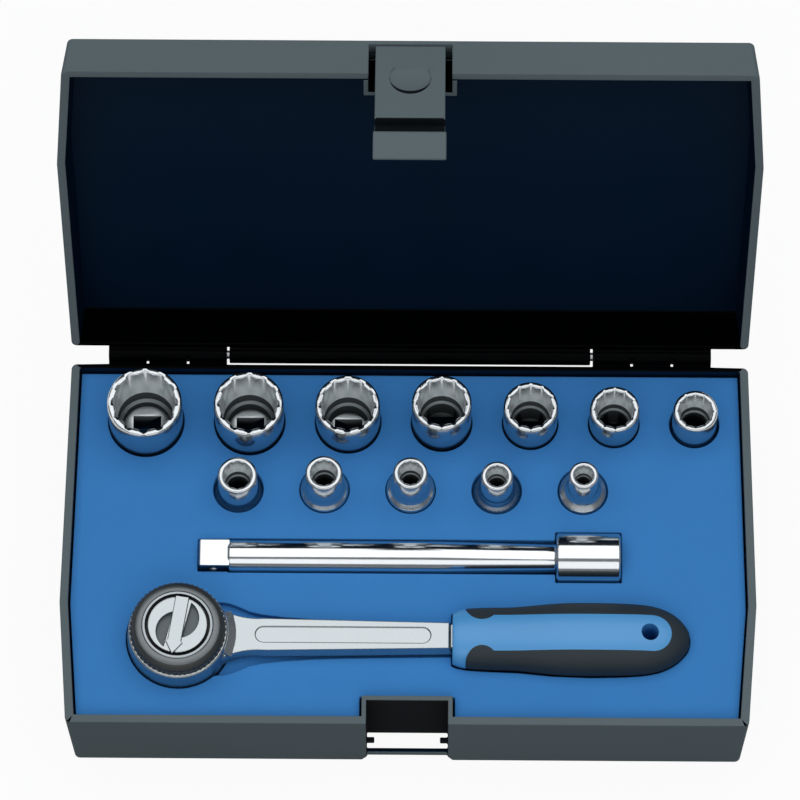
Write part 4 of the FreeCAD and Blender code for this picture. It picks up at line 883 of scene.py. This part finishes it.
def make_rib_tree():
    """Ribs on a circle, joined to the band and given one finish."""
    tree = bpy.data.node_groups.new("ribs_round_band", "GeometryNodeTree")
    tree.interface.new_socket(name="Geometry", in_out="OUTPUT", socket_type="NodeSocketGeometry")
    for label, kind in (("Band", "Geometry"), ("Ribs", "Int"), ("Seat Radius", "Float"),
                        ("Rib Radius", "Float"), ("Rib Height", "Float"), ("Middle", "Vector"),
                        ("Finish", "Material")):
        tree.interface.new_socket(name=label, in_out="INPUT", socket_type="NodeSocket" + kind)
    given = tree.nodes.new("NodeGroupInput")
    result = tree.nodes.new("NodeGroupOutput")
    rib = add_node(tree, "GeometryNodeMeshCylinder", Vertices=RIB_SIDES)
    seats = add_node(tree, "GeometryNodeMeshCircle")
    placed = add_node(tree, "GeometryNodeInstanceOnPoints")
    moved = add_node(tree, "GeometryNodeTransform")
    both = add_node(tree, "GeometryNodeJoinGeometry")
    real = add_node(tree, "GeometryNodeRealizeInstances")
    painted = add_node(tree, "GeometryNodeSetMaterial")
    join(tree, given.outputs["Rib Radius"], rib.inputs["Radius"])
    join(tree, given.outputs["Rib Height"], rib.inputs["Depth"])
    join(tree, given.outputs["Ribs"], seats.inputs["Vertices"])
    join(tree, given.outputs["Seat Radius"], seats.inputs["Radius"])
    join(tree, seats.outputs["Mesh"], placed.inputs["Points"])
    join(tree, rib.outputs["Mesh"], placed.inputs["Instance"])
    join(tree, placed.outputs["Instances"], moved.inputs["Geometry"])
    join(tree, given.outputs["Middle"], moved.inputs["Translation"])
    join(tree, given.outputs["Band"], both.inputs["Geometry"])
    join(tree, moved.outputs["Geometry"], both.inputs["Geometry"])
    join(tree, both.outputs["Geometry"], real.inputs["Geometry"])
    join(tree, real.outputs["Geometry"], painted.inputs["Geometry"])
    join(tree, given.outputs["Finish"], painted.inputs["Material"])
    join(tree, painted.outputs["Geometry"], result.inputs["Geometry"])
    return tree


rib_tree = make_rib_tree()
print("tree", rib_tree.name, "nodes", len(rib_tree.nodes))

# %% [markdown]
# ### The band
# The ring is round, with an upright edge and a round shoulder that leads up to the bezel. Spin could
# carry its profile round, but it may leave the mesh inside out. Here the corners are worked out by
# angle, and each face is wound so that it looks outwards.

# %% Band of the thumb ring
RIB_RADIUS = 0.3
RIB_HEIGHT = 1.5
BAND_STEPS = 108
SHOULDER_STEPS = 16


def ring_profile(inner, outer, low, high, edge):
    """Half section of the ring: an upright edge, then a round shoulder up to the bezel."""
    profile = [(inner, low), (outer, low)]
    for step in range(SHOULDER_STEPS + 1):
        turn = math.radians(90) * step / SHOULDER_STEPS
        profile.append((inner + (outer - inner) * math.cos(turn), edge + (high - edge) * math.sin(turn)))
    return profile


def turned_band(profile, axis):
    """A closed band: the profile carried round an upright axis."""
    corners = []
    for step in range(BAND_STEPS):
        turn = 2 * math.pi * step / BAND_STEPS
        corners += [(axis.x + r * math.cos(turn), axis.y + r * math.sin(turn), z) for r, z in profile]
    count = len(profile)
    faces = []
    for step in range(BAND_STEPS):
        here = step * count
        there = (step + 1) % BAND_STEPS * count
        for k in range(count):
            after = (k + 1) % count
            faces.append((here + k, there + k, there + after, here + after))
    mesh = bpy.data.meshes.new("thumb_ring_soft")
    mesh.from_pydata(corners, [], faces)
    return mesh


ring_low, ring_high = corners_of("thumb_ring")
ring_axis = (ring_low + ring_high) / 2
reaches = [(corner.co - ring_axis).xy.length for corner in nodes["thumb_ring"].data.vertices]
seat = max(reaches) - RIB_RADIUS * MM
rib_top = ring_low.z + RIB_HEIGHT * MM
band = turned_band(ring_profile(min(reaches), seat, ring_low.z, ring_high.z, rib_top), ring_axis)
print("band faces", len(band.polygons), "radius", round(seat / MM, 2))

# %% [markdown]
# ### The ribs
# The ribs are moulded in one with the band. The tree could stay live on the piece, but the result is
# taken once, as a plain mesh with the ribs as real faces. The upward faces of the shoulder, next to the
# bezel, get a grey metal finish that is a painted sheen.

# %% Ribs of the thumb ring
RIBS = 54
RING_SHARP = math.radians(50)
SHEEN_REACH = 9.7


def set_inputs(modifier, values):
    """Set a tree's inputs by the identifiers of its sockets."""
    for item in modifier.node_group.interface.items_tree:
        if item.in_out == "INPUT" and item.name in values:
            modifier[item.identifier] = values[item.name]


ring = new_piece("thumb_ring", band)
ribs = ring.modifiers.new("ribs", "NODES")
ribs.node_group = rib_tree
rib_middle = Vector((ring_axis.x, ring_axis.y, ring_low.z + RIB_HEIGHT * MM / 2))
set_inputs(ribs, {"Ribs": RIBS, "Seat Radius": seat, "Rib Radius": RIB_RADIUS * MM,
                  "Rib Height": RIB_HEIGHT * MM, "Middle": rib_middle, "Finish": black_ring_and_painted_shade})
as_plain(ring)
ring.data.set_sharp_from_angle(angle=RING_SHARP)
# The upward faces of the shoulder next to the bezel get a painted sheen of grey metal.
paint(ring, ring_painted_sheen, [face for face in ring.data.polygons
                         if reach_of(ring, face, ring_axis) < SHEEN_REACH * MM and face.normal.z > 0])
stand_for(ring, "thumb_ring")
print("ring faces", len(ring.data.polygons), "radius", round(max(reaches) / MM, 2))
